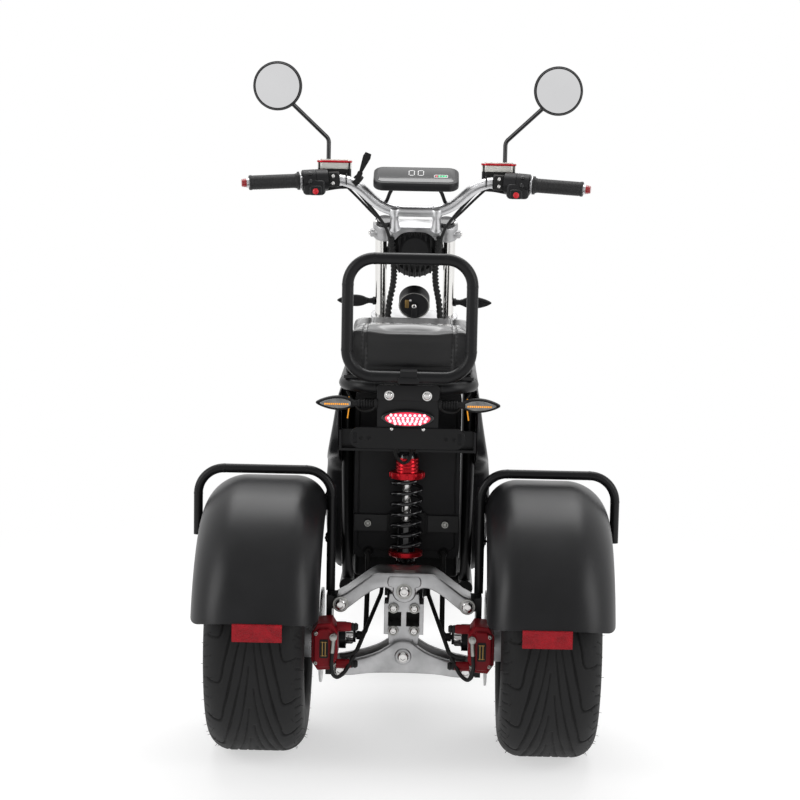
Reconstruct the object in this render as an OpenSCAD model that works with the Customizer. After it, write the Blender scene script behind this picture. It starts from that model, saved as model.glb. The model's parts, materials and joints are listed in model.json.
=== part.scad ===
// Electric chopper trike: two fat rear wheels on a leaning linkage and one steered front wheel.
// Millimetres, +Z up, +Y forward, +X to the rider's right. Pieces are drawn with the rear axle
// at y = 0, then every node is moved so that the whole part's box is centred on the origin.

/* [Wheels] */
// Distance between the front and the rear axle
wheelbase = 1260; // [1200:5:1320]
// Rear tyre outer diameter
rear_tyre_d = 450; // [430:2:456]
// Rear tyre width
rear_tyre_w = 187; // [176:1:196]
// Rear tyre shoulder radius
rear_shoulder = 46; // [30:1:52]
// Distance between the centre planes of the rear tyres
rear_track = 555; // [550:1:580]
// Rim diameter at the rear bead
rear_rim_d = 262; // [240:1:280]
// Front tyre outer diameter
front_tyre_d = 459; // [445:1:470]
// Front tyre width
front_tyre_w = 100; // [90:1:100]
// Front tyre shoulder radius
front_shoulder = 40; // [30:1:44]
// Rim diameter at the front bead
front_rim_d = 312; // [290:1:330]
// Thickness of a rim's barrel
rim_wall = 8; // [6:0.5:10]
// Hub motor diameter
motor_d = 190; // [170:2:200]
// Depth of the chamfer round a motor cover
motor_cover = 14; // [10:1:18]
// Number of openings between the spokes
spoke_count = 5; // [3:1:7]
// Brake disc radius
disc_r = 92; // [84:1:93]
// Brake disc thickness
disc_t = 4; // [3:0.5:5]
// Distance of a rear brake disc from its tyre's inner face
disc_gap = 25; // [24:0.5:27]
// Distance of the front brake disc from the fork's left slider
front_disc_gap = 7.5; // [7:0.5:8]
// Radius of a cooling hole in a brake disc
disc_hole_r = 5; // [3:0.5:7]
// Number of cooling holes in a brake disc
disc_hole_count = 12; // [6:1:16]

/* [Axles] */
// Rear stub axle radius
stub_r = 14; // [12:0.5:16]
// Rear axle nut size across corners
nut_d = 32; // [28:1:34]
// Rear axle nut thickness
nut_t = 14; // [10:1:15]
// Front axle radius
front_axle_r = 8; // [7:0.5:9]
// Running clearance of a wheel on its axle and of the stem in the head tube
run_clear = 0.05; // [0.03:0.01:0.09]

/* [Rear linkage] */
// Height of the upper arm's end pivots over the axle
upper_end_up = 75; // [72:1:78]
// Height of the upper arm's centre pivot over the axle
upper_mid_up = 103; // [100:1:106]
// Depth of the lower arm's end pivots under the axle
lower_end_down = 53; // [50:1:55]
// Depth of the lower arm's centre pivot under the axle
lower_mid_down = 25; // [23:1:28]
// Distance of the end pivots from the knuckles' plates
lug_reach = 17; // [16:0.5:19]
// Rear face of the arms, behind the axle
arm_back = 60; // [56:0.5:61]
// Front face of the arms, ahead of the axle
arm_front = 20; // [18:0.5:22]
// Thickness of the plates of an arm
arm_plate = 12; // [10:0.5:13]
// Radius of an arm's end
arm_end_r = 14; // [12:0.5:15]
// Half width of the upper arm's flat top
arm_flat = 57; // [50:1:62]
// Height of the upper arm's top over its centre pivot
arm_rise = 36; // [32:1:40]
// Height of the lower arm's hump over its centre pivot
hump_rise = 29; // [27:0.5:31]
// Radius of a pivot bolt's shank
bolt_r = 6; // [5:0.5:7]
// Radius of a pivot bolt's head
bolt_head_r = 11; // [9:0.5:12]
// Height of a pivot bolt's head
bolt_head_h = 6; // [4:0.5:8]
// Gap between the plates of an arm and what stands between them
link_gap = 2; // [1:0.5:3]
// Half width of the centre upright's face
upright_half = 38; // [34:1:40]
// Thickness of a knuckle's plate
knuckle_t = 11; // [9:0.5:12]
// Gap between a knuckle's plate and the brake disc
knuckle_gap = 8; // [6:0.5:9]
// Swingarm pivot ahead of the rear axle
swing_y = 300; // [290:1:310]
// Swingarm pivot height over the axle
swing_up = 34; // [33:1:36]
// Width of the swingarm's box
swing_w = 70; // [60:1:74]
// Height of the swingarm's box
swing_h = 56; // [46:1:60]

/* [Shock] */
// Shock axis ahead of the rear axle
shock_y = 50; // [48:0.5:52]
// Height of the shock's lower eye over the axle
shock_up = 123; // [118:1:128]
// Distance between the shock's eyes
shock_l = 246; // [240:1:252]
// Outer diameter of the spring
spring_d = 66; // [58:1:68]
// Diameter of the spring's wire
spring_wire = 8; // [6:0.5:9]
// Number of turns of the spring
spring_turns = 7; // [5:1:8]
// Length of the spring
spring_l = 145; // [130:1:150]

/* [Fenders] */
// Gap between a rear tyre and its fender's inner face
fender_gap = 86; // [70:1:90]
// Thickness of a fender
fender_t = 4; // [3:0.5:5]
// Distance of a rear fender's inner edge from the tyre's inner face
fender_in_gap = 31; // [28:0.5:32]
// Distance of a rear fender's outer edge from the tyre's outer face
fender_out_gap = 20; // [14:1:24]
// Corner radius at a rear fender's outer edge
fender_out_r = 84; // [50:1:90]
// Corner radius at a rear fender's inner edge
fender_in_r = 62; // [40:1:80]
// Angle of the rear lip above the axle
fender_lip = 17; // [12:0.5:20]
// Angle of the front lip above the axle
fender_front = 46; // [44:1:60]
// Radius of a fender rail's tube
rail_r = 8.7; // [7:0.1:9]
// Bend radius of a fender rail
rail_bend = 50; // [40:1:60]
// Gap between a fender's outer edge and its rail
rail_gap = 1; // [0.3:0.1:4]
// Length of a fender rail's outer leg
rail_drop = 130; // [110:1:140]
// Width of a rear reflector
reflector_w = 90; // [70:1:100]
// Height of a rear reflector
reflector_h = 32; // [24:1:38]

/* [Frame] */
// Radius of the seat loop's tube
loop_r = 12.5; // [11:0.5:14]
// Height of the seat loop over the axle
loop_up = 490; // [480:1:500]
// Half width of the seat loop
loop_half = 121.5; // [118:0.5:124]
// Rear end of the seat loop, behind the axle
loop_back = 20; // [15:1:24]
// Front end of the seat loop, ahead of the axle
loop_front = 470; // [450:1:490]
// Bend radius of the seat loop
loop_bend = 60; // [50:1:75]
// Radius of the floor rails
floor_r = 16; // [14:0.5:18]
// Height of the floor rails over the axle
floor_up = 37; // [33:1:42]
// Distance of the floor rails' front end behind the front axle
floor_short = 460; // [440:5:480]
// Radius of the backbone tube
backbone_r = 30; // [26:0.5:32]
// Outer radius of the head tube
head_r = 27; // [25:0.5:29]
// Width of the footboard
board_w = 310; // [290:2:340]
// Thickness of the footboard
board_t = 14; // [10:1:18]

/* [Body] */
// Width of the battery box
battery_w = 208; // [190:2:212]
// Rear face of the battery box, ahead of the axle
battery_back = 95; // [94:1:100]
// Length of the battery box
battery_l = 335; // [300:5:345]
// Bottom of the battery box over the axle
battery_up = 135; // [130:1:145]
// Height of the battery box
battery_h = 330; // [300:1:334]
// Width over the side covers
cover_w = 335; // [320:1:345]
// Height of the side covers
cover_h = 390; // [370:1:400]
// Seat width
seat_w = 266; // [250:2:280]
// Seat length
seat_l = 552; // [520:2:580]
// Seat height at its rear
seat_h = 92; // [80:1:105]
// Height by which the saddle lies under the rear seat
saddle_drop = 34; // [20:1:40]
// Backrest hoop's outer width
hoop_w = 256; // [240:2:270]
// Backrest hoop's outer height
hoop_h = 245; // [220:1:260]
// Radius of the backrest hoop's tube
hoop_r = 11; // [10:0.5:12.5]
// Distance of the hoop behind the axle
hoop_back = 50; // [46:1:56]
// Width of the plate holder
plate_w = 220; // [210:1:240]
// Height of the plate holder
plate_h = 40; // [36:1:46]
// Thickness of brackets
sheet_t = 5; // [4:0.5:6]

/* [Steering] */
// Rake of the fork
rake = 27; // [25:0.5:29]
// Distance of the fork tubes from each other
fork_span = 159; // [156:1:166]
// Radius of a fork tube
fork_r = 13.5; // [12:0.5:15]
// Radius of a fork slider
slider_r = 20; // [18:0.5:20]
// Distance of the steering axis behind the fork tubes
yoke_offset = 45; // [42:1:48]
// Height of the lower yoke along the fork
low_yoke = 393; // [385:1:400]
// Height of the upper yoke along the fork
up_yoke = 573; // [560:1:580]
// Height of the top crown along the fork
crown_at = 827; // [815:1:840]
// Thickness of a yoke
yoke_t = 30; // [26:1:32]
// Radius of the stem
stem_r = 17; // [15:0.5:18]
// Handlebar tube radius
bar_r = 11; // [10.5:0.1:12]
// Handlebar half width
bar_half = 381; // [370:1:395]
// Grip radius
grip_r = 15; // [14:0.5:17]
// Mirror diameter
mirror_d = 110; // [100:1:116]
// Gauge width
gauge_w = 193; // [170:1:200]
// Headlamp diameter
lamp_d = 131; // [115:1:131]
// Horn diameter
horn_d = 72; // [60:1:76]

/* [Hidden] */
$fn = 64;

// Overrun of a cut past the face that it opens, and sink of one solid of a piece into the next
over = 1;
// Gap between a soft piece and what carries it
soft_gap = 0.3;
// Gap between a brake pad's slot and the disc
pad_gap = 3;
// Share by which the collar at a bend's end stands over the tube
bead_share = 1.03;
// Share of the tube's radius taken by such a collar
stop_share = 0.2;
// Steps in a rounded corner, and in a wide curve
corner_steps = 6;
curve_steps = 14;

// Places that several pieces share
rear_r = rear_tyre_d / 2;
front_r = front_tyre_d / 2;
wheel_x = rear_track / 2;
tyre_in = wheel_x - rear_tyre_w / 2;
tyre_out = wheel_x + rear_tyre_w / 2;
rear_disc_x = tyre_in - disc_gap;
fork_half = fork_span / 2;
front_disc_x = fork_half - slider_r - front_disc_gap;
knuckle_out = rear_disc_x - disc_t / 2 - knuckle_gap;
knuckle_x = knuckle_out - knuckle_t;
arm_end_x = knuckle_x - lug_reach;
upper_end_z = rear_r + upper_end_up;
upper_mid_z = rear_r + upper_mid_up;
lower_end_z = rear_r - lower_end_down;
lower_mid_z = rear_r - lower_mid_down;
knuckle_top = upper_end_z + arm_end_r;
knuckle_low = lower_end_z - arm_end_r;
arm_depth = arm_back + arm_front;
slot_back = arm_back - arm_plate;
slot_front = arm_front - arm_plate;
swing_z = rear_r + swing_up;
shock_low_z = rear_r + shock_up;
shock_top_z = shock_low_z + shock_l;
fender_r = rear_r + fender_gap + fender_t;
fender_in = tyre_in - fender_in_gap;
fender_out = tyre_out + fender_out_gap;
part_back = fender_r * cos(fender_lip);
mid_y = (wheelbase + front_r - part_back) / 2;
loop_z = rear_r + loop_up;
loop_top = loop_z + loop_r;
floor_z = rear_r + floor_up;
floor_front = wheelbase - floor_short;
battery_low = rear_r + battery_up;
battery_top = battery_low + battery_h;
battery_front = battery_back + battery_l;
bracket_back = loop_back + loop_r + sheet_t;

function unit(v) = v / norm(v);
function frame3(x, y, z, p) = [
  [x[0], y[0], z[0], p[0]], [x[1], y[1], z[1], p[1]], [x[2], y[2], z[2], p[2]], [0, 0, 0, 1]];
// A direction square to d
steep_share = 0.9;
function any_side(d) = abs(d[2]) < steep_share ? unit(cross([0, 0, 1], d)) : unit(cross([1, 0, 0], d));
function mixed(a, b, s) = a + (b - a) * s;
// Points of an arc about c
function arc(c, r, from, to, steps = corner_steps) =
  [for (i = [0:steps]) let(a = mixed(from, to, i / steps)) c + r * [cos(a), sin(a)]];
function turned_back(p) = [for (i = [len(p) - 1:-1:0]) p[i]];
// Mirror image of a half outline, without the points on the middle plane
middle_within = 0.001;
function flipped(p) = [for (q = turned_back(p)) if (abs(q[0]) > middle_within) [-q[0], q[1]]];
function both_halves(p) = concat(p, flipped(p));
function round_box(w, h, r) = concat(
  arc([w / 2 - r, h / 2 - r], r, 0, 90), arc([r - w / 2, h / 2 - r], r, 90, 180),
  arc([r - w / 2, r - h / 2], r, 180, 270), arc([w / 2 - r, r - h / 2], r, 270, 360));
// A point of the fork's frame, whose origin is the front axle, in the frame of the rear axle
function fork_point(y, z) = [0, wheelbase + y * cos(rake) - z * sin(rake), front_r + y * sin(rake)
  + z * cos(rake)];
// The y and z of a point in the fork's frame
function in_fork(p) = let(y = p[1] - wheelbase, z = p[2] - front_r)
  [y * cos(rake) + z * sin(rake), z * cos(rake) - y * sin(rake)];

// Straight round bar from a to b
module rod(a, b, r) {
  d = unit(b - a);
  s = any_side(d);
  multmatrix(frame3(s, cross(d, s), d, a)) cylinder(r = r, h = norm(b - a));
}

// Bend of a tube at a corner of its path
module elbow(p, da, db, r, bend) {
  turn = acos(da * db);
  n = unit(cross(da, db));
  out = cross(n, da);
  centre = p - da * bend * tan(turn / 2) + out * bend;
  multmatrix(frame3(-out, da, n, centre)) rotate_extrude(angle = turn) translate([bend, 0]) circle(r = r);
}

// Bent tube along a path, with a slight collar at the ends of each bend
module pipe(p, r, bend) {
  last = len(p) - 1;
  stop = r * stop_share;
  for (i = [0:last - 1]) {
    d = unit(p[i + 1] - p[i]);
    ta = i == 0 ? 0 : bend * tan(acos(unit(p[i] - p[i - 1]) * d) / 2);
    tb = i == last - 1 ? 0 : bend * tan(acos(unit(p[i + 2] - p[i + 1]) * d) / 2);
    a = p[i] + d * ta;
    b = p[i + 1] - d * tb;
    rod(i == 0 ? a : a + d * stop / 2, i == last - 1 ? b : b - d * stop / 2, r);
    if (i > 0) rod(a - d * stop, a + d * stop, r * bead_share);
    if (i < last - 1) rod(b - d * stop, b + d * stop, r * bead_share);
  }
  for (i = [1:last - 1]) elbow(p[i], unit(p[i] - p[i - 1]), unit(p[i + 1] - p[i]), r, bend);
}

// Shape drawn in X and Z, from y = back to y = back + depth
module upright_slab(p, back, depth) {
  translate([0, back + depth, 0]) rotate([90, 0, 0]) linear_extrude(depth) polygon(p);
}
// Shape drawn in Y and Z, from x = from to x = from + depth
module side_slab(p, from, depth) {
  translate([from, 0, 0]) rotate([90, 0, 90]) linear_extrude(depth) polygon(p);
}
module sides() {
  children();
  mirror([1, 0, 0]) children();
}
module block(low, high) { translate(low) cube(high - low); }
module round_x(a, b, y, z, r) { translate([a, y, z]) rotate([0, 90, 0]) cylinder(r = r, h = b - a); }
module round_y(x, a, b, z, r) { translate([x, a, z]) rotate([-90, 0, 0]) cylinder(r = r, h = b - a); }
module at_fork() { translate([0, wheelbase, front_r]) rotate([rake, 0, 0]) children(); }
// Axis of a wheel along X
module wheel_axis(x, y, z) { translate([x, y, z]) rotate([0, 90, 0]) children(); }

module tyre(d, w, shoulder, rim) {
  r = d / 2;
  rotate_extrude() polygon(concat(
    [[rim / 2, shoulder - w / 2]],
    arc([r - shoulder, shoulder - w / 2], shoulder, -90, 0),
    arc([r - shoulder, w / 2 - shoulder], shoulder, 0, 90),
    [[rim / 2, w / 2 - shoulder]]));
}
module disc(bore) {
  hole_at = disc_r - 3 * disc_hole_r;
  difference() {
    translate([0, 0, -disc_t / 2]) cylinder(r = disc_r, h = disc_t);
    translate([0, 0, -disc_t]) cylinder(r = bore, h = 2 * disc_t);
    for (i = [0:disc_hole_count - 1]) rotate(i * 360 / disc_hole_count)
      translate([hole_at, 0, -disc_t]) cylinder(r = disc_hole_r, h = 2 * disc_t);
  }
}

// Rear rims: barrel, web, hub motor towards the middle and a boss that carries the disc
boss_r = 45;
web_t = 14;
motor_sunk = 16;
hub_end = 60;
rear_rim_w = rear_tyre_w - 2 * rear_shoulder + 2 * rim_wall;
rear_bore = stub_r + run_clear;
module rear_rim() {
  r = rear_rim_d / 2;
  boss_low = rear_disc_x + disc_t / 2 - wheel_x;
  motor_low = motor_sunk - rear_tyre_w / 2;
  difference() {
    rotate_extrude() polygon([
      [rear_bore, boss_low], [boss_r, boss_low], [boss_r, motor_low], [motor_d / 2 - motor_cover,
        motor_low],
      [motor_d / 2, motor_low + motor_cover], [motor_d / 2, -web_t], [r - rim_wall, -web_t],
      [r - rim_wall, -rear_rim_w / 2], [r, -rear_rim_w / 2], [r, rear_rim_w / 2],
      [r - rim_wall, rear_rim_w / 2], [r - rim_wall, web_t], [boss_r, web_t], [boss_r, hub_end],
      [rear_bore, hub_end]]);
    for (i = [0:spoke_count - 1]) rotate(i * 360 / spoke_count)
      translate([(motor_d / 2 + r - rim_wall) / 2, 0, -rear_rim_w]) cylinder(r = web_t / 2,
        h = 2 * rear_rim_w);
  }
}
module rear_wheel_at(side) {
  mirror([side < 0 ? 1 : 0, 0, 0]) wheel_axis(wheel_x, 0, rear_r) children();
}
module rear_rim_left() color("silver") rear_wheel_at(-1) rear_rim();
module rear_rim_right() color("silver") rear_wheel_at(1) rear_rim();
module rear_tyre() { tyre(rear_tyre_d, rear_tyre_w, rear_shoulder, rear_rim_d); }
module rear_tyre_left() color("#1c1c1c") rear_wheel_at(-1) rear_tyre();
module rear_tyre_right() color("#1c1c1c") rear_wheel_at(1) rear_tyre();
module rear_disc_at(side) {
  mirror([side < 0 ? 1 : 0, 0, 0]) wheel_axis(rear_disc_x, 0, rear_r) disc(stub_r + 3 * disc_t);
}
module rear_disc_left() color("gray") rear_disc_at(-1);
module rear_disc_right() color("gray") rear_disc_at(1);

// Front wheel: a cast rim with round openings
front_rim_w = 60;
front_boss_r = boss_r - web_t;
module front_rim() color("silver") {
  r = front_rim_d / 2;
  disc_side = disc_t / 2 - front_disc_x;
  wheel_axis(0, wheelbase, front_r) difference() {
    rotate_extrude() polygon([
      [front_axle_r + run_clear, disc_side], [front_boss_r, disc_side], [front_boss_r, -web_t],
      [r - rim_wall, -web_t], [r - rim_wall, -front_rim_w / 2], [r, -front_rim_w / 2], [r, front_rim_w / 2],
      [r - rim_wall, front_rim_w / 2], [r - rim_wall, web_t], [front_boss_r, web_t],
      [front_boss_r, front_disc_x], [front_axle_r + run_clear, front_disc_x]]);
    for (i = [0:spoke_count - 1]) rotate(i * 360 / spoke_count)
      translate([(boss_r + r) / 2, 0, -front_rim_w]) cylinder(r = front_boss_r, h = 2 * front_rim_w);
  }
}
module front_tyre() color("#1c1c1c") wheel_axis(0, wheelbase, front_r)
  tyre(front_tyre_d, front_tyre_w, front_shoulder, front_rim_d);
module front_disc() color("gray") wheel_axis(-front_disc_x, wheelbase, front_r)
  disc(front_axle_r + 2 * disc_t);

// Knuckles with their stub axles, drawn on the right
boss_in_offset = 9;
boss_in = arm_end_x - boss_in_offset;
knuckle_rear = arm_back + link_gap;
knuckle_front = 2 * arm_front;
nut_tail = 5;
module knuckle() {
  round_x(boss_in - nut_t - nut_tail, wheel_x + hub_end, 0, rear_r, stub_r);
  round_x(boss_in, knuckle_out, 0, rear_r, 2 * stub_r - link_gap);
  wheel_axis(boss_in - nut_t, 0, rear_r) cylinder(d = nut_d, h = nut_t, $fn = 6);
  block([knuckle_x, link_gap - slot_back, knuckle_low], [knuckle_out, knuckle_front, knuckle_top]);
  block([knuckle_x, -knuckle_rear, rear_r - 2 * stub_r], [knuckle_out, 0, rear_r + 2 * stub_r]);
  for (z = [upper_end_z, lower_end_z]) difference() {
    union() {
      block([arm_end_x, link_gap - slot_back, z - arm_end_r + link_gap],
        [knuckle_x + over, slot_front - link_gap, z + arm_end_r - link_gap]);
      round_y(arm_end_x, link_gap - slot_back, slot_front - link_gap, z, arm_end_r - link_gap);
    }
    round_y(arm_end_x, -arm_back, arm_front, z, bolt_r);
  }
}
module knuckles() color("#2a2a2a") sides() knuckle();

// Leaning linkage. The arms are cast with a plate at the rear and one at the front, joined along the top of
// the upper arm and by the solid flanks of the lower arm; the upright and the knuckles' lugs stand
// between them
hub_r = 22;
tongue_half = 17;
arch_r = 13;
arch_z = upper_mid_z - hub_r + arch_r + over;
arch_x = hub_r + arch_r + over;
arm_slope = 36;
arm_top = upper_mid_z + arm_rise;
arm_web = 18;
pad_t = 2;
pad_half = 33;
pad_top_offset = 29;
pad_top = upper_mid_z + pad_top_offset;
groove_half = 22;
groove_w = 4;
groove_t = 2;
upper_half = concat(
  arc([0, upper_mid_z], hub_r, -90, -20), arc([arch_x, arch_z], arch_r, 180, 90),
  [[arm_flat - sheet_t, arch_z + arch_r - link_gap]],
  arc([arm_end_x, upper_end_z], arm_end_r, -90 - arm_slope, 90 - arm_slope), [[arm_flat, arm_top], [0,
    arm_top]]);
pad_shape = both_halves(concat(
  arc([0, upper_mid_z], hub_r - link_gap, -90, 0), [[pad_half, upper_mid_z + hub_r / 2]],
  arc([pad_half - sheet_t, pad_top - sheet_t], sheet_t, 0, 90)));
module arm_bores(mid_z, end_z) {
  round_y(0, -2 * arm_depth, 2 * arm_depth, mid_z, bolt_r);
  for (s = [-1, 1]) round_y(s * arm_end_x, -2 * arm_depth, 2 * arm_depth, end_z, bolt_r);
}
module upper_arm() color("#b8bcc0") difference() {
  union() {
    upright_slab(both_halves(upper_half), -arm_back, arm_depth);
    upright_slab(pad_shape, -arm_back - pad_t, pad_t + over);
  }
  block([-knuckle_x, -slot_back, upper_end_z - 2 * arm_end_r], [knuckle_x, slot_front, arm_top - arm_web]);
  for (i = [1, 2]) block([-groove_half, -arm_back + (2 * i - 1) * groove_w, arm_top - groove_t],
    [groove_half, -arm_back + 2 * i * groove_w, arm_top + over]);
  arm_bores(upper_mid_z, upper_end_z);
}
flank_r = 62;
flank_x = 60;
crest_r = 20;
crest_end = 48;
brow_x = 94;
brow_z_offset = 6;
brow_z = lower_mid_z - brow_z_offset;
flank_z = lower_mid_z + flank_r;
belly = 34;
lower_half = concat(
  arc([0, lower_mid_z + hump_rise - crest_r], crest_r, 90, crest_end),
  arc([flank_x, flank_z], flank_r, 180 + 41, 270), [[brow_x, brow_z]],
  arc([arm_end_x, lower_end_z], arm_end_r, 80, -90),
  [[flank_x, lower_mid_z - belly - link_gap], [0, lower_mid_z - belly]]);
tongue_slot = tongue_half + link_gap;
leg_slot = upright_half + link_gap;
module lower_arm() color("#b8bcc0") difference() {
  upright_slab(both_halves(lower_half), -arm_back, arm_depth);
  block([-tongue_slot, -slot_back, lower_mid_z - tongue_slot], [tongue_slot, slot_front, flank_z]);
  block([-leg_slot, -slot_back, lower_mid_z + link_gap], [leg_slot, slot_front, flank_z]);
  sides() block([arm_end_x - 2 * arm_end_r, -slot_back, 0], [knuckle_x, slot_front, lower_mid_z + hub_r]);
  arm_bores(lower_mid_z, lower_end_z);
}

// Upright between the arms: a tongue for the two centre bolts, and a face with two windows, four bolt
// bosses
// and four legs
upright_bolt = 20;
boss_back = slot_back - link_gap;
face_low_offset = 40;
face_low = lower_mid_z + face_low_offset;
face_top_offset = 28;
face_top = upper_mid_z - face_top_offset;
upright_boss_r = 10;
upright_boss_t = 4;
window_in = 5;
window_out = 30;
window_edge = 16;
leg_in = 14;
leg_out = 30;
leg_l = 20;
upright_bolts = [face_low + upright_boss_r - link_gap, face_top - upright_boss_r + link_gap];
leg_shape = [[leg_in, 0], [leg_out, 0], [leg_out - sheet_t / 2, leg_l], [leg_out - upright_boss_r, leg_l]];
module centre_upright() color("#aeb2b6") difference() {
  union() {
    block([-tongue_half, -boss_back, lower_mid_z - tongue_half],
      [tongue_half, slot_front - link_gap, upper_mid_z + tongue_half]);
    block([-upright_half, -boss_back, face_low], [upright_half, slot_front - link_gap, face_top]);
    sides() {
      translate([0, 0, face_top - over]) upright_slab(leg_shape, -boss_back, arm_plate);
      translate([0, 0, face_low + over]) mirror([0, 0, 1]) upright_slab(leg_shape, -boss_back, arm_plate);
      for (z = upright_bolts) round_y(upright_bolt, -boss_back - upright_boss_t, over - boss_back, z,
        upright_boss_r);
    }
  }
  sides() block([window_in, -arm_back, face_low + window_edge], [window_out, arm_front,
    face_top - window_edge]);
  for (z = [lower_mid_z, upper_mid_z]) round_y(0, -arm_depth, arm_depth, z, bolt_r);
}
module one_bolt(x, z, back) {
  round_y(x, -back - bolt_head_h, -back, z, bolt_head_r);
  round_y(x, -back - over, arm_front + over, z, bolt_r);
  round_y(x, arm_front, arm_front + bolt_head_h, z, bolt_head_r);
}
module pivot_bolts() color("#606468") {
  one_bolt(0, upper_mid_z, arm_back + pad_t);
  one_bolt(0, lower_mid_z, arm_back);
  for (s = [-1, 1]) for (z = [upper_end_z, lower_end_z]) one_bolt(s * arm_end_x, z, arm_back);
}

// Swingarm from the frame's pivot to the linkage, with the tower of the shock's lower eye
tower_t = 6;
eye_r = 15;
eye_half = 14;
pin_r = 6;
module swingarm() color("#2a2a2a") difference() {
  union() {
    block([-swing_w / 2, slot_front - link_gap, swing_z - swing_h / 2],
      [swing_w / 2, swing_y, swing_z + swing_h / 2]);
    round_x(-swing_w / 2, swing_w / 2, swing_y, swing_z, swing_h / 2);
    sides() {
      block([eye_half, shock_y - eye_r, swing_z], [eye_half + tower_t, shock_y + eye_r, shock_low_z]);
      round_x(eye_half, eye_half + tower_t, shock_y, shock_low_z, eye_r);
    }
  }
  round_x(-swing_w, swing_w, swing_y, swing_z, pin_r + over);
  round_x(-swing_w, swing_w, shock_y, shock_low_z, pin_r);
}

// Coil-over shock: damper with its eyes and pins, red spring seats and adjuster, and the spring
damper_r = 13;
collar_r = 33;
collar_h = 12;
cup_h = 8;
adjuster_r = 22;
adjuster_h = 30;
thread_w = 4;
spring_low_offset = 36;
spring_low = shock_low_z + spring_low_offset;
spring_top = spring_low + spring_l;
module shock_body() color("#1c1c1e") {
  for (z = [shock_low_z, shock_top_z]) {
    round_x(-eye_half, eye_half, shock_y, z, eye_r - over);
    round_x(-eye_half - tower_t - over, eye_half + tower_t + over, shock_y, z, pin_r);
  }
  translate([0, shock_y, shock_low_z]) cylinder(r = damper_r, h = shock_l);
}
module on_damper(z, ring) {
  translate([0, shock_y, z]) rotate_extrude() polygon([for (p = ring) [p[0] + damper_r, p[1]]]);
}
collar_w = collar_r - damper_r;
adjuster_w = adjuster_r - damper_r;
lower_seat = [[0, 0], [collar_w - cup_h, 0], [collar_w, cup_h / 2], [collar_w, collar_h], [0, collar_h]];
upper_seat = concat(
  [[0, 0], [collar_w, 0], [collar_w, collar_h]],
  [for (i = [0:floor(adjuster_h / thread_w) - 1]) each
    [[adjuster_w, collar_h + i * thread_w], [adjuster_w - over, collar_h + (i + 1) * thread_w]]],
  [[0, collar_h + adjuster_h]]);
module shock_collars() color("#8c1620") {
  on_damper(spring_low - collar_h, lower_seat);
  on_damper(spring_top, upper_seat);
}
spring_sides = 8;
spring_steps = 20;
coil_r = spring_d / 2 - spring_wire / 2;
coil_low = spring_low + spring_wire / 2;
coil_rise = spring_l - spring_wire;
coil_count = spring_turns * spring_steps;
function coil_point(i, k) =
  let(a = i * 360 / spring_steps, b = k * 360 / spring_sides, q = coil_r + spring_wire / 2 * cos(b))
  [q * cos(a), shock_y + q * sin(a), coil_low + coil_rise * i / coil_count + spring_wire / 2 * sin(b)];
module shock_spring() color("#161616") polyhedron(
  points = [for (i = [0:coil_count]) for (k = [0:spring_sides - 1]) coil_point(i, k)],
  faces = concat(
    [[for (k = [0:spring_sides - 1]) k]],
    [for (i = [0:coil_count - 1]) for (k = [0:spring_sides - 1])
      [i * spring_sides + k, (i + 1) * spring_sides + k, (i + 1) * spring_sides + (k + 1) % spring_sides,
       i * spring_sides + (k + 1) % spring_sides]],
    [[for (k = [spring_sides - 1:-1:0]) coil_count * spring_sides + k]]));

// Brake calipers on the knuckles: eight-sided bodies astride the discs, with a window and two guide pins
caliper_in_offset = 40;
caliper_in = rear_disc_x - caliper_in_offset;
caliper_out_offset = 18;
caliper_out = rear_disc_x + caliper_out_offset;
caliper_low_offset = 45;
caliper_low = rear_r - caliper_low_offset;
caliper_high_offset = 53;
caliper_high = rear_r + caliper_high_offset;
caliper_back = 148;
caliper_cut = 20;
sight_w = 18;
sight_h = 40;
sight_t = 6;
sight_x = (caliper_in + caliper_out) / 2;
guide_r = 7;
guide_l = 22;
guide_y = -105;
guide_edge = 12;
caliper_shape = [
  [caliper_in, caliper_low + caliper_cut], [caliper_in + caliper_cut, caliper_low],
  [caliper_out - caliper_cut / 2, caliper_low], [caliper_out, caliper_low + caliper_cut],
  [caliper_out, caliper_high - caliper_cut], [caliper_out - caliper_cut / 2, caliper_high],
  [caliper_in + caliper_cut, caliper_high], [caliper_in, caliper_high - caliper_cut]];
module rear_calipers() color("#7d1420") sides() difference() {
  union() {
    upright_slab(caliper_shape, -caliper_back, caliper_back - knuckle_rear);
    for (z = [caliper_low + guide_edge, caliper_high - guide_edge])
      round_x(caliper_in - guide_l, sight_x, guide_y, z, guide_r);
  }
  wheel_axis(rear_disc_x - disc_t / 2 - pad_gap, 0, rear_r)
    cylinder(r = disc_r + pad_gap, h = disc_t + 2 * pad_gap);
  block([sight_x - sight_w / 2, -caliper_back - over, (caliper_low + caliper_high - sight_h) / 2],
    [sight_x + sight_w / 2, sight_t - caliper_back, (caliper_low + caliper_high + sight_h) / 2]);
}

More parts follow.
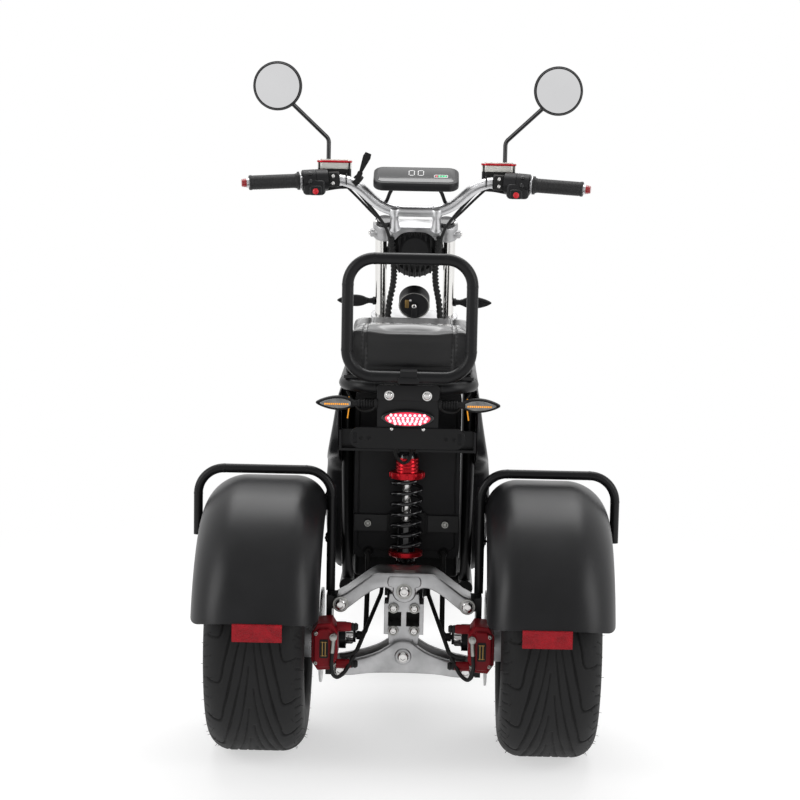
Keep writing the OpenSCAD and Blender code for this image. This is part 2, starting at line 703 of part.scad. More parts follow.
// Fenders, turned about the axle, and the rails over them
function fender_line(gap) = concat(
  arc([fender_r - fender_in_r, fender_in + fender_in_r], fender_in_r - gap, -90, 0, curve_steps),
  arc([fender_r - fender_out_r, fender_out - fender_out_r], fender_out_r - gap, 0, 90, curve_steps));
module rear_fenders() color("#1b1b1b") sides()
  translate([0, 0, rear_r]) rotate([90, 0, 90])
    rotate([0, 0, fender_front]) rotate_extrude(angle = 180 - fender_front - fender_lip)
      polygon(concat(fender_line(0), turned_back(fender_line(fender_t))));
rail_in = fender_in - rail_gap - rail_r;
rail_out = fender_out + rail_gap + rail_r;
rail_top = rear_r + fender_r + rail_r;
module fender_rails() color("#161616") sides() pipe([
  [rail_in, 0, knuckle_top], [rail_in, 0, rail_top], [rail_out, 0, rail_top],
  [rail_out, 0, rail_top - rail_drop]], rail_r, rail_bend);
reflector_t = 8;
reflector_in = 16;
lip_z = rear_r + (fender_r - fender_t) * sin(fender_lip);
module reflectors() color("#a01018") sides()
  translate([wheel_x - reflector_in - reflector_w / 2, over - part_back, lip_z - reflector_h])
    cube([reflector_w, reflector_t, reflector_h]);

// Leads of the hub motors to the battery box, and hoses of the rear brakes to their clips on the frame
cable_r = 5;
cable_bend = 16;
cable_x = 74;
cable_z_offset = 12;
cable_z = battery_low + cable_z_offset;
lead_y_offset = 16;
lead_y = shock_y + lead_y_offset;
module motor_cables() color("#141414") sides() pipe([
  [boss_in - nut_t - nut_tail, 0, rear_r], [cable_x, 0, rear_r], [cable_x, lead_y, rear_r + upper_end_up],
  [cable_x, lead_y, cable_z], [cable_x, battery_back, cable_z]], cable_r, cable_bend);
hose_r = 4;
hose_bend = 24;
hose_x = 46;
hose_z = upper_end_z;
hose_low_offset = 32;
hose_low = caliper_low + hose_low_offset;
hose_out_offset = 28;
hose_out = caliper_in - hose_out_offset;
module brake_hoses() color("#121212") sides() pipe([
  [caliper_in, guide_y, hose_low], [hose_out, guide_y, hose_low], [hose_x, 2 * arm_front, hose_z],
  [hose_x, clip_back, hose_z]], hose_r, hose_bend);

// Frame: seat loop with its struts, the shock's mount, and the floor rails with backbone and head tube
floor_back = 262;
strut_top_y = 120;
seat_post_y = 470;
strut_r = loop_r - over;
pivot_cross_y = 345;
shock_cross_y = 78;
pivot_r = 20;
ear_t = 8;
ear_half = swing_w / 2 + over;
board_bottom = floor_z + floor_r;
cradle_half = 96;
cradle_l = 130;
cradle_t = 8;
cradle_x = 70;
clip_t = 6;
clip_back = pivot_cross_y - cradle_t;
clip_top = hose_z + 2 * hose_r;
head_low = low_yoke + yoke_t / 2 + sheet_t;
head_high = up_yoke - yoke_t / 2 - sheet_t;
head_mid = fork_point(-yoke_offset, (head_low + head_high) / 2);
module seat_frame() color("#202020") difference() {
  union() {
    pipe([[-loop_half, loop_front, loop_z], [-loop_half, -loop_back, loop_z],
      [loop_half, -loop_back, loop_z], [loop_half, loop_front, loop_z]], loop_r, loop_bend);
    sides() {
      rod([loop_half, strut_top_y, loop_z], [loop_half, floor_back + 2 * floor_r, floor_z], strut_r);
      rod([loop_half, loop_front - 2 * loop_r, loop_z], [loop_half, seat_post_y + 2 * floor_r, floor_z],
        strut_r);
    }
  }
  sides() rod([loop_half, 0, floor_z], [loop_half, wheelbase, floor_z], floor_r);
}
module shock_mount() color("#202020") difference() {
  union() {
    rod([-loop_half, shock_cross_y, loop_z], [loop_half, shock_cross_y, loop_z], loop_r - 2 * over);
    sides() block([eye_half + over, shock_y - eye_r + over, shock_top_z - eye_r],
      [eye_half + over + tower_t, shock_cross_y + over, loop_z - over]);
  }
  sides() rod([loop_half, -loop_back, loop_z], [loop_half, loop_front, loop_z], loop_r);
  round_x(-loop_half / 2, loop_half / 2, shock_y, shock_top_z, pin_r);
}
module main_frame() color("#202020") difference() {
  union() {
    sides() {
      rod([loop_half, floor_back, floor_z], [loop_half, floor_front, floor_z], floor_r);
      block([ear_half, swing_y - pivot_r, swing_z - pivot_r], [ear_half + ear_t, pivot_cross_y,
        swing_z + pivot_r]);
      block([cradle_x - cradle_t, clip_back, floor_z], [cradle_x + cradle_t, pivot_cross_y + cradle_t,
        battery_low - over]);
      block([hose_x - clip_t, clip_back, floor_z], [hose_x + clip_t, pivot_cross_y + cradle_t, clip_top]);
    }
    rod([-loop_half, pivot_cross_y, floor_z], [loop_half, pivot_cross_y, floor_z], floor_r - over);
    rod([-loop_half, floor_front - 2 * floor_r, floor_z], [loop_half, floor_front - 2 * floor_r, floor_z],
      floor_r - over);
    block([-cradle_half, pivot_cross_y - cradle_l / 2, battery_low - cradle_t],
      [cradle_half, pivot_cross_y + cradle_l / 2, battery_low]);
    pipe([[0, floor_front - 3 * floor_r, floor_z], [0, floor_front + 2 * floor_r, floor_z], head_mid],
      backbone_r, 5 * floor_r);
    at_fork() translate([0, -yoke_offset, head_low]) cylinder(r = head_r, h = head_high - head_low);
  }
  at_fork() translate([0, -yoke_offset, 0]) cylinder(r = stem_r + run_clear, h = up_yoke);
  round_x(-loop_half / 2, loop_half / 2, swing_y, swing_z, pin_r + over);
}
board_back = seat_post_y + 4 * floor_r;
board_nose_offset = 60;
board_nose = floor_front + board_nose_offset;
board_l = board_nose - board_back;
module footboard() color("#2c2c2c") translate([0, board_back + board_l / 2, board_bottom]) difference() {
  linear_extrude(board_t) polygon(round_box(board_w, board_l, backbone_r));
  translate([-backbone_r - sheet_t, floor_front - 3 * floor_r - sheet_t - board_back - board_l / 2,
    -board_t])
    cube([2 * backbone_r + 2 * sheet_t, board_l, 3 * board_t]);
}

// Body: battery box with its strap, side covers, guard behind the shock, seat on its pan
battery_r = 12;
module battery_box() color("#191919") translate([0, battery_front, (battery_low + battery_top) / 2])
  rotate([90, 0, 0]) linear_extrude(battery_l) polygon(round_box(battery_w, battery_h, battery_r));
strap_half = 103;
strap_z_offset = 70;
strap_z = battery_low + strap_z_offset;
strap_h = 33;
strap_t = 6;
strap_bolt_x = 76;
module battery_strap() color("#242424") {
  block([-strap_half, battery_back - strap_t, strap_z - strap_h / 2], [strap_half, battery_back,
    strap_z + strap_h / 2]);
  sides() round_y(strap_bolt_x, battery_back - 2 * strap_t, battery_back - strap_t + over, strap_z,
    strap_t);
}
cover_in = loop_half + strut_r;
cover_high_offset = 25;
cover_high = loop_z - cover_high_offset;
cover_low = cover_high - cover_h;
cover_back = 20;
cover_front = 450;
cover_mid = cover_w / 2;
cover_bulge = 20;
cover_r = 60;
cover_steps = 10;
cover_step_y = 240;
cover_step_z_offset = 130;
cover_step_z = cover_high - cover_step_z_offset;
cover_step_in = 30;
cover_step_r = 40;
cover_rear = concat(
  [[cover_in, cover_low]],
  [for (i = [0:cover_steps]) let(t = 2 * i / cover_steps - 1)
    [cover_mid - cover_bulge * t * t, cover_low + cover_h * i / cover_steps]],
  [[cover_in, cover_high]]);
cover_side = concat(
  arc([cover_front - cover_r, cover_high - cover_r], cover_r, 0, 90),
  arc([cover_back + cover_r, cover_high - cover_r], cover_r, 90, 180),
  [[cover_back, cover_step_z + cover_step_r], [cover_back + cover_step_in, cover_step_z],
   [cover_step_y - cover_step_in, cover_step_z - cover_back], [cover_step_y, cover_step_z - cover_r]],
  arc([cover_step_y + cover_step_r, cover_low + cover_step_r], cover_step_r, 180, 270),
  arc([cover_front - cover_r, cover_low + cover_r], cover_r, 270, 360));
module side_covers() color("#1a1a1a") sides() intersection() {
  upright_slab(cover_rear, 0, cover_front + cover_back);
  side_slab(cover_side, cover_in - over, cover_mid);
}
guard_half = cover_in - over;
guard_low_offset = 9;
guard_low = shock_top_z - guard_low_offset;
guard_high_offset = 40;
guard_high = guard_low + guard_high_offset;
guard_front = shock_y - eye_r + over;
module cross_guard() color("#1d1d1d") difference() {
  block([-guard_half, guard_front - 4 * sheet_t, guard_low], [guard_half, guard_front, guard_high]);
  block([-guard_half + sheet_t, guard_front - 5 * sheet_t, guard_low + sheet_t],
    [guard_half - sheet_t, guard_front - sheet_t, guard_high + sheet_t]);
}
pan_half = 124;
pan_t = 6;
pan_low = loop_z + loop_r * bead_share;
pan_l = 540;
seat_back = 8;
module seat_pan() color("#222222") block([-pan_half, 0, pan_low], [pan_half, pan_l, pan_low + pan_t]);
seat_low = pan_low + pan_t + soft_gap;
seat_front = seat_back + seat_l;
seat_top = seat_low + seat_h;
seat_r = 40;
nose_up = 30;
saddle_y = 360;
saddle_step = 130;
step_top = 230;
step_run = 40;
side_in = 8;
crest = 4;
seat_side = concat(
  [[seat_back, seat_low], [seat_front, seat_low]],
  arc([seat_front - seat_r, seat_low + nose_up], seat_r, 0, 90),
  [[saddle_y, seat_top - saddle_drop - 2 * sheet_t], [step_top + step_run, seat_top - saddle_drop - crest],
   [step_top, seat_top - crest]],
  arc([seat_back + seat_r, seat_top - seat_r], seat_r, 90, 180));
seat_rear = both_halves(concat(
  [[0, seat_low], [seat_w / 2 - side_in, seat_low]],
  arc([seat_w / 2 - seat_r, seat_top - seat_r - crest], seat_r, 0, 90), [[0, seat_top]]));
module seat() color("#171717") intersection() {
  side_slab(seat_side, -seat_w, 2 * seat_w);
  upright_slab(seat_rear, 0, seat_front + seat_back);
}

// Backrest hoop, tail bracket with its lamp, plate holder and rear indicators
hoop_half = hoop_w / 2 - hoop_r;
hoop_low = loop_top + hoop_r;
hoop_high = hoop_low + hoop_h - 2 * hoop_r;
hoop_bend = 50;
hoop_gap = 8;
module backrest_hoop() color("#151515") {
  pipe([[hoop_gap, -hoop_back, hoop_low], [hoop_half, -hoop_back, hoop_low], [hoop_half, -hoop_back,
    hoop_high],
    [-hoop_half, -hoop_back, hoop_high], [-hoop_half, -hoop_back, hoop_low], [-hoop_gap, -hoop_back,
      hoop_low]],
    hoop_r, hoop_bend);
  block([-2 * hoop_gap, -hoop_back - hoop_r - over, loop_top], [2 * hoop_gap, -loop_back,
    hoop_low + hoop_r + over]);
}
bracket_half = 58;
bracket_low_offset = 111;
bracket_low = loop_z - bracket_low_offset;
bracket_high_offset = 7;
bracket_high = loop_z + bracket_high_offset;
bracket_cut = 20;
bracket_cut_x = 12;
tail_bolt_x = 36;
tail_bolt_z_offset = 13;
tail_bolt_z = loop_z - tail_bolt_z_offset;
tail_bolt_r = 9;
module tail_bracket() color("#1b1b1b") {
  upright_slab(both_halves([[0, bracket_low], [bracket_half, bracket_low], [bracket_half,
    bracket_high - bracket_cut],
    [bracket_half - bracket_cut_x, bracket_high], [0, bracket_high]]), -bracket_back, sheet_t);
  sides() round_y(tail_bolt_x, -bracket_back - sheet_t, over - bracket_back, tail_bolt_z, tail_bolt_r);
}
tail_w = 95;
tail_h = 28;
tail_t = 14;
tail_z_offset = 55;
tail_z = loop_z - tail_z_offset;
module tail_lamp() color("#b01018") translate([0, -bracket_back, tail_z]) rotate([90, 0, 0])
  linear_extrude(tail_t) polygon(round_box(tail_w, tail_h, tail_h / 2 - over));
plate_z_offset = 95;
plate_z = loop_z - plate_z_offset;
plate_hole_r = 3.5;
plate_holes = [15, 30];
plate_slot_x = 99;
plate_slot_w = 7;
plate_slot_h = 20;
module plate_holder() color("#1b1b1b") translate([0, -bracket_back, plate_z]) rotate([90, 0, 0])
  difference() {
  linear_extrude(sheet_t) polygon(round_box(plate_w, plate_h, plate_h / 2 - over));
  sides() {
    for (x = plate_holes) translate([bracket_half + x, 0, -over]) cylinder(r = plate_hole_r,
      h = 3 * sheet_t);
    translate([plate_slot_x - plate_slot_w / 2, -plate_slot_h / 2, -over])
      cube([plate_slot_w, plate_slot_h, 3 * sheet_t]);
  }
}
leaf_l = 73;
leaf_r = 13;
leaf_steps = 9;
leaf_taper_share = 0.3;
leaf_profile = concat([[0, 0]],
  [for (i = [1:leaf_steps - 1]) let(t = i / leaf_steps)
    [leaf_r * sin(180 * t) * (1 - leaf_taper_share * t), leaf_l * t]], [[0, leaf_l]]);
stalk_r = 5;
rear_stalk = 42;
front_stalk = 14;
// Indicator along +X from its stalk's foot
module indicator(stalk) {
  rotate([0, 90, 0]) {
    cylinder(r = stalk_r, h = stalk + leaf_l / 4);
    translate([0, 0, stalk]) rotate_extrude() polygon(leaf_profile);
  }
}
rear_lamp_z_offset = 30;
rear_lamp_z = loop_z - rear_lamp_z_offset;
module rear_indicators() color("#202020") sides()
  translate([bracket_half, -bracket_back + sheet_t / 2, rear_lamp_z]) indicator(rear_stalk);

// Fork: two yokes on the stem, a crown on top, tubes and sliders
crown_t = 26;
crown_top = crown_at + crown_t / 2;
clamp_r = 17;
cap_h = 6;
slider_top = 330;
slider_low = 24;
tube_top = crown_top + cap_h;
module yoke(at, thick, r, hub) {
  translate([0, 0, at - thick / 2]) difference() {
    union() {
      linear_extrude(thick) polygon([[-fork_half, r], [fork_half, r], [fork_half, -r],
        [hub, -yoke_offset - hub / 2], [-hub, -yoke_offset - hub / 2], [-fork_half, -r]]);
      sides() translate([fork_half, 0, 0]) cylinder(r = r + over, h = thick);
      translate([0, -yoke_offset, 0]) cylinder(r = hub + over, h = thick);
    }
    sides() translate([fork_half, 0, -over]) cylinder(r = fork_r, h = thick + 2 * over);
  }
}
module fork_yokes() color("#3a3a3a") at_fork() {
  yoke(low_yoke, yoke_t, clamp_r + sheet_t, head_r);
  yoke(up_yoke, yoke_t, clamp_r + sheet_t, head_r);
  translate([0, -yoke_offset, low_yoke]) cylinder(r = stem_r, h = up_yoke - low_yoke);
}
module top_crown() color("#c0c4c8") at_fork() yoke(crown_at, crown_t, clamp_r, head_r);
module fork_tubes() color("#d8dadc") at_fork() sides()
  translate([fork_half, 0, slider_top]) cylinder(r = fork_r, h = tube_top - slider_top);
module fork_sliders() color("#9a9ea2") at_fork() difference() {
  sides() translate([fork_half, 0, -slider_low]) cylinder(r = slider_r, h = slider_top + slider_low);
  round_x(-2 * fork_half, 2 * fork_half, 0, 0, front_axle_r);
}
axle_half = fork_half + slider_r + sheet_t;
module front_axle() color("#85898c") round_x(-axle_half, axle_half, wheelbase, front_r, front_axle_r);
caliper_y = -62;
caliper_d = 40;
caliper_base = -15;
caliper_h = 80;
lug_in_offset = 16.5;
lug_in = fork_half - lug_in_offset;
lug_out_offset = 13;
lug_out = lug_in + lug_out_offset;
module front_caliper() color("#7d1420") at_fork() difference() {
  union() {
    block([-fork_half, caliper_y - caliper_d, caliper_base],
      [caliper_d / 4 - front_disc_x, caliper_y, caliper_base + caliper_h]);
    block([-lug_out, caliper_y - over, caliper_base + caliper_d / 2], [-lug_in, 0,
      caliper_base + caliper_d]);
  }
  wheel_axis(-front_disc_x - disc_t / 2 - pad_gap, 0, 0) cylinder(r = disc_r + pad_gap,
    h = disc_t + 2 * pad_gap);
  translate([-fork_half, 0, -slider_top]) cylinder(r = slider_r, h = 2 * slider_top);
}
front_fender_gap = 18;
front_fender_r = front_r + front_fender_gap;
front_fender_half = fork_half - slider_r - over;
front_fender_bend = 30;
front_fender_from = 148;
front_fender_turn = 118;
function front_line(gap) = concat(
  arc([front_fender_r - front_fender_bend, front_fender_bend - front_fender_half],
    front_fender_bend - gap, -90, 0),
  arc([front_fender_r - front_fender_bend, front_fender_half - front_fender_bend],
    front_fender_bend - gap, 0, 90));
stay_z = front_fender_r - front_fender_bend;
module front_fender() color("#1b1b1b") {
  wheel_axis(0, wheelbase, front_r) rotate([0, 0, front_fender_from])
    rotate_extrude(angle = front_fender_turn)
    polygon(concat(front_line(0), turned_back(front_line(fender_t))));
  at_fork() sides() block([front_fender_half - fender_t / 2, -2 * sheet_t, stay_z],
    [fork_half - slider_r, 2 * sheet_t, stay_z + sheet_t]);
}
loom_r = 6;
loom_x = fork_half - fork_r - loom_r - link_gap;
loom_back = 24;
loom_low = up_yoke + yoke_t / 2;
loom_top = crown_at - crown_t / 2;
module looms() color("#101010") at_fork() sides()
  translate([loom_x, -loom_back, loom_low]) cylinder(r = loom_r, h = loom_top - loom_low);

// Handlebar and what sits on it, placed from the middle of the crown's top
steer = fork_point(0, crown_top);
bar_back = 48.6;
bar_up = 28;
bar_mid_half = 71;
rise_half = 148;
rise_back = 66.6;
rise_up = 100;
grip_back = 118.6;
grip_up = 88;
bar_bend = 45;
function from_crown(x, back, up) = steer + [x, -back, up];
bar_at = from_crown(0, bar_back, bar_up);
bar_mid = from_crown(bar_mid_half, bar_back, bar_up);
bar_in = from_crown(rise_half, rise_back, rise_up);
bar_end = from_crown(bar_half, grip_back, grip_up);
function swapped(p) = [-p[0], p[1], p[2]];
function on_bar(x) = mixed(bar_in, bar_end, (x - rise_half) / (bar_half - rise_half));
riser_x = 47;
riser_r = 14;
riser_cap = 2;
bar_local = in_fork(bar_at);
riser_top = bar_local[1] + bar_r + riser_cap;
module handlebar() color("#c8ccd0") {
  pipe([swapped(bar_end), swapped(bar_in), swapped(bar_mid), bar_mid, bar_in, bar_end], bar_r, bar_bend);
  at_fork() sides() translate([riser_x, bar_local[0], crown_top]) cylinder(r = riser_r,
    h = riser_top - crown_top);
}
grip_from = 264;
grip_short = 6;
pod_from = 200;
pod_to = 258;
pod_r = 24;
past_share = 1.1;
sleeve_gap = 0.06;
module bar_sleeve(from, to, r) {
  difference() {
    rod(on_bar(from), on_bar(to), r);
    rod(bar_in, mixed(bar_in, bar_end, past_share), bar_r + sleeve_gap);
  }
}
module grips() color("#151515") sides() bar_sleeve(grip_from, bar_half - grip_short, grip_r);
module switch_pods() color("#1c1c1c") sides() bar_sleeve(pod_from, pod_to, pod_r);
clamp_from = 176;
clamp_to = 198;
clamp_mid = on_bar((clamp_from + clamp_to) / 2);
lever_gap = 46;
lever_r = 6;
lever_tip_r = 8;
lever_pin_r = 11;
lever_pin_h = 13;
lever_splay = 10;
lever_root = on_bar(pod_from - lever_splay) + [0, lever_gap, 0];
lever_tip = on_bar(bar_half - lever_splay) + [0, lever_gap + lever_splay, 0];
arm_half = 10;
arm_low = 8;
arm_high = 12;
arm_from_offset = 3;
arm_from = bar_r + arm_from_offset;
tank_half = 36;
tank_back = 22;
tank_ahead = 62;
tank_low = 4;
tank_high = 40;
module brake_levers() color("#262626") sides() {
  bar_sleeve(clamp_from, clamp_to, bar_r + 7 * over);
  block(clamp_mid + [-arm_half, arm_from, -arm_low], clamp_mid + [arm_half, lever_gap - lever_r, arm_high]);
  block(clamp_mid + [-tank_half, tank_back, tank_low], clamp_mid + [tank_half, tank_ahead, tank_high]);
  translate(lever_root - [0, 0, lever_pin_h]) cylinder(h = 2 * lever_pin_h, r = lever_pin_r);
  rod(lever_root, lever_tip, lever_r);
  translate(lever_tip) sphere(r = lever_tip_r);
}
mirror_side = 14;
mirror_foot = clamp_mid + [mirror_side, (tank_back + tank_ahead) / 2, tank_high];
mirror_rise = 50;
mirror_half = 315;
mirror_back = 88.6;
mirror_up = 305;
mirror_t = 14;
mirror_neck = 30;
mirror_drop = 36;
stem_tube = 5;
stem_bend = 18;
mirror_at = from_crown(mirror_half, mirror_back, mirror_up);
module mirror_dish(from, to, r) {
  round_y(mirror_at[0], mirror_at[1] + from, mirror_at[1] + to, mirror_at[2], r);
}
module mirrors() color("#161616") sides() {
  pipe([mirror_foot, mirror_foot + [0, 0, mirror_rise], mirror_at + [-mirror_neck, mirror_t - 2 * over,
    -mirror_drop]],
    stem_tube, stem_bend);
  difference() {
    mirror_dish(0, mirror_t, mirror_d / 2);
    mirror_dish(-over, sheet_t, mirror_d / 2 - sheet_t);
  }
}
module mirror_glass() color("#9fb4c4") sides() mirror_dish(over, sheet_t, mirror_d / 2 - sheet_t);
gauge_d = 95;
gauge_t = 20;
gauge_r = 18;
gauge_back = 78.6;
gauge_up = 102;
gauge_tilt = 22;
post_r = 6;
flap_half = 45;
flap_in = 10;
flap_h = 26;
flap_hole_x = 24;
gauge_at = from_crown(0, gauge_back, gauge_up);
post_h = in_fork(gauge_at)[1] - gauge_t / 4 - riser_top;
module gauge() color("#0e0e10") {
  translate(gauge_at) rotate([gauge_tilt, 0, 0]) {
    linear_extrude(gauge_t, center = true) polygon(round_box(gauge_w, gauge_d, gauge_r));
    difference() {
      block([-flap_half, flap_in - gauge_d / 2, -gauge_t / 2 - flap_h],
        [flap_half, flap_in + sheet_t - gauge_d / 2, over - gauge_t / 2]);
      sides() round_y(flap_hole_x, -gauge_d, 0, -(gauge_t + flap_h) / 2, post_r);
    }
  }
  at_fork() sides() translate([riser_x, bar_local[0], riser_top]) cylinder(r = post_r, h = post_h);
}
lamp_ahead = 47.4;
lamp_down = 66;
lamp_tail = 46;
lamp_tail_r = 30;
lamp_chin = 30;
lamp_chin_r = 44;
lamp_nose = 78;
lamp_step = 12;
lamp_rim = 30;
fin_count = 5;
fin_pitch = 8;
fin_t = 4;
fin_h = 6;
lamp_at = from_crown(0, -lamp_ahead, -lamp_down);
lamp_r = lamp_d / 2;
lamp_ear_y = wheelbase - (lamp_at[2] - front_r) * tan(rake);
lamp_ear_x_offset = 28;
lamp_ear_x = lamp_r - lamp_ear_x_offset;
lamp_ear_r = 8;
lamp_shape = concat(
  [[0, -lamp_tail], [lamp_tail_r, -lamp_tail]],
  [for (i = [0:fin_count - 1])
    let(q = mixed(lamp_chin_r, lamp_r - lamp_step, i / (fin_count - 1)), y = i * fin_pitch - lamp_chin)
    each [[q, y], [q, y + fin_t], [q - fin_h, y + fin_t], [q - fin_h, y + fin_pitch]]],
  [[lamp_r - lamp_step, fin_count * fin_pitch - lamp_chin], [lamp_r, lamp_rim], [lamp_r, lamp_nose], [0,
    lamp_nose]]);
module headlamp() color("#141414") {
  translate(lamp_at) rotate([-90, 0, 0]) rotate_extrude() polygon(lamp_shape);
  sides() round_x(lamp_ear_x, fork_half - fork_r, lamp_ear_y, lamp_at[2], lamp_ear_r);
}
horn_at_offset = 67;
horn_at = up_yoke + horn_at_offset;
horn_t = 30;
horn_back = 10;
strap_back = 26;
strap_out = 10;
module horn() color("#101010") at_fork() {
  translate([0, -horn_back, horn_at]) rotate([90, 0, 0]) cylinder(d = horn_d, h = horn_t);
  block([-strap_out, -strap_back - fin_t, up_yoke + yoke_t / 2], [strap_out, -strap_back, horn_at]);
}
sign_at_offset = 52;
sign_at = up_yoke + sign_at_offset;
module front_indicators() color("#202020") at_fork() sides()
  translate([fork_half + fork_r, 0, sign_at]) indicator(front_stalk);

module placed() { translate([0, -mid_y, 0]) children(); }
placed() main_frame();
placed() seat_frame();
placed() shock_mount();
placed() footboard();
placed() battery_box();
placed() battery_strap();
placed() side_covers();
placed() cross_guard();
placed() seat_pan();
placed() seat();
placed() backrest_hoop();
placed() tail_bracket();
placed() tail_lamp();
placed() plate_holder();
placed() rear_indicators();
placed() shock_body();
placed() shock_collars();
placed() shock_spring();
placed() swingarm();
placed() centre_upright();
placed() upper_arm();
placed() lower_arm();
placed() pivot_bolts();
placed() knuckles();
placed() rear_calipers();
placed() rear_fenders();
placed() fender_rails();
placed() reflectors();
placed() motor_cables();
placed() brake_hoses();
placed() rear_rim_left();
placed() rear_tyre_left();
placed() rear_disc_left();
placed() rear_rim_right();
placed() rear_tyre_right();
placed() rear_disc_right();
placed() fork_yokes();
placed() top_crown();
placed() fork_tubes();
placed() fork_sliders();
placed() handlebar();
placed() grips();
placed() switch_pods();
placed() brake_levers();
placed() mirrors();
placed() mirror_glass();
placed() gauge();
placed() headlamp();
placed() horn();
placed() looms();
placed() front_indicators();
placed() front_fender();
placed() front_axle();
placed() front_caliper();
placed() front_rim();
placed() front_tyre();
placed() front_disc();
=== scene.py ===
import json
import math

import bmesh
import bpy
import numpy as np
from mathutils import Matrix, Vector
from mathutils.bvhtree import BVHTree

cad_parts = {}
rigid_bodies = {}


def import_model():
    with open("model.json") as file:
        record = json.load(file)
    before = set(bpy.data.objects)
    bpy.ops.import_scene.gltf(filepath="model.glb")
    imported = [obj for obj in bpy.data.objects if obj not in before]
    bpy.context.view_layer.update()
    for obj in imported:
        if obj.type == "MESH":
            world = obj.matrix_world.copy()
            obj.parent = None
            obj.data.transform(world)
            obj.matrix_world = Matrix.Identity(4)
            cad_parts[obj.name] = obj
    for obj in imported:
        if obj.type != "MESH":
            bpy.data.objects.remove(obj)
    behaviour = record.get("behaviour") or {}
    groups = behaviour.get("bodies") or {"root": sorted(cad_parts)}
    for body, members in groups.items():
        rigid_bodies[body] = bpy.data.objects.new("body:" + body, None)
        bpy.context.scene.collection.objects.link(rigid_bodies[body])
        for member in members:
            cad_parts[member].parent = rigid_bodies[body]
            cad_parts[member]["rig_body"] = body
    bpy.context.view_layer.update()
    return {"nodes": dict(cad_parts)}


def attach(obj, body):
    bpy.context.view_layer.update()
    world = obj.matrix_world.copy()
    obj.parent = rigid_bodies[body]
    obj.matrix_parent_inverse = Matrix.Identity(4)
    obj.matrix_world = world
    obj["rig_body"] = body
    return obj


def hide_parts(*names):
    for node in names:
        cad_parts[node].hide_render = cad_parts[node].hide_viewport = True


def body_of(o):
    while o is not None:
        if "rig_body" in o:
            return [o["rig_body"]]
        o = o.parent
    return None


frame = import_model()
nodes = frame["nodes"]

# Places are in mm from the floor under the middle of the rear axle: x to the right, y forward, z up
MM = 0.001
REAR_AXLE_Y = -594.132
WHEELBASE = 1260.0
REAR_R = 225.0
FRONT_R = 229.5
WHEEL_X = 277.5
RAKE = math.radians(27)
FORK_UP = np.array((0, -math.sin(RAKE), math.cos(RAKE)))
FORK_AHEAD = np.array((0, math.cos(RAKE), math.sin(RAKE)))
STEER = np.array((0, 878.65, 977.95))
X, Y, Z, BACK = (1, 0, 0), (0, 1, 0), (0, 0, 1), (0, -1, 0)
SIDES = (1, -1)
TURN = 2 * math.pi


def spot(x, y, z):
    """The same place in the frame's metres."""
    return Vector((x, y + REAR_AXLE_Y, z)) * MM


def fork(x, y, z):
    """A place given across, ahead of and along the fork, from the front axle."""
    return np.array((x, WHEELBASE, FRONT_R)) + y * FORK_AHEAD + z * FORK_UP


# Camera

scene = bpy.context.scene
scene.view_settings.view_transform = "Standard"

PHOTO_PIXELS = 800
FOCAL_PIXELS = 2113
PAN, TILT, ROLL = (math.radians(a) for a in (0.8, 82, 1.1))
camera_data = bpy.data.cameras.new("camera")
camera_data.sensor_width = 36.0
camera_data.lens = camera_data.sensor_width * FOCAL_PIXELS / PHOTO_PIXELS
camera = bpy.data.objects.new("camera", camera_data)
camera.location = spot(40, -4000, 1250)
camera.rotation_euler = (Matrix.Rotation(PAN, 3, "Z") @ Matrix.Rotation(TILT, 3, "X")
                         @ Matrix.Rotation(ROLL, 3, "Z")).to_euler()
scene.collection.objects.link(camera)
scene.camera = camera


# Materials


class Nodes:
    """Adds shader nodes to a tree, with each input given as a value or as another node's output."""

    def __init__(self, tree):
        self.tree = tree

    def fill(self, node, inputs):
        for key, value in inputs.items():
            if isinstance(value, bpy.types.NodeSocket):
                self.tree.links.new(value, node.inputs[key])
            else:
                node.inputs[key].default_value = value

    def add(self, kind, inputs, **settings):
        node = self.tree.nodes.new("ShaderNode" + kind)
        for key, value in settings.items():
            setattr(node, key, value)
        self.fill(node, inputs)
        return node

    def math(self, kind, a, b):
        return self.add("Math", {0: a, 1: b}, operation=kind).outputs[0]

    def span(self, value, low, high, start=0.3, end=0.7, way="LINEAR"):
        inputs = {"Value": value, "From Min": start, "From Max": end, "To Min": low, "To Max": high}
        return self.add("MapRange", inputs, interpolation_type=way).outputs["Result"]


def shade(colour, share):
    return tuple(min(1.0, c * share) for c in colour) + (1.0,)


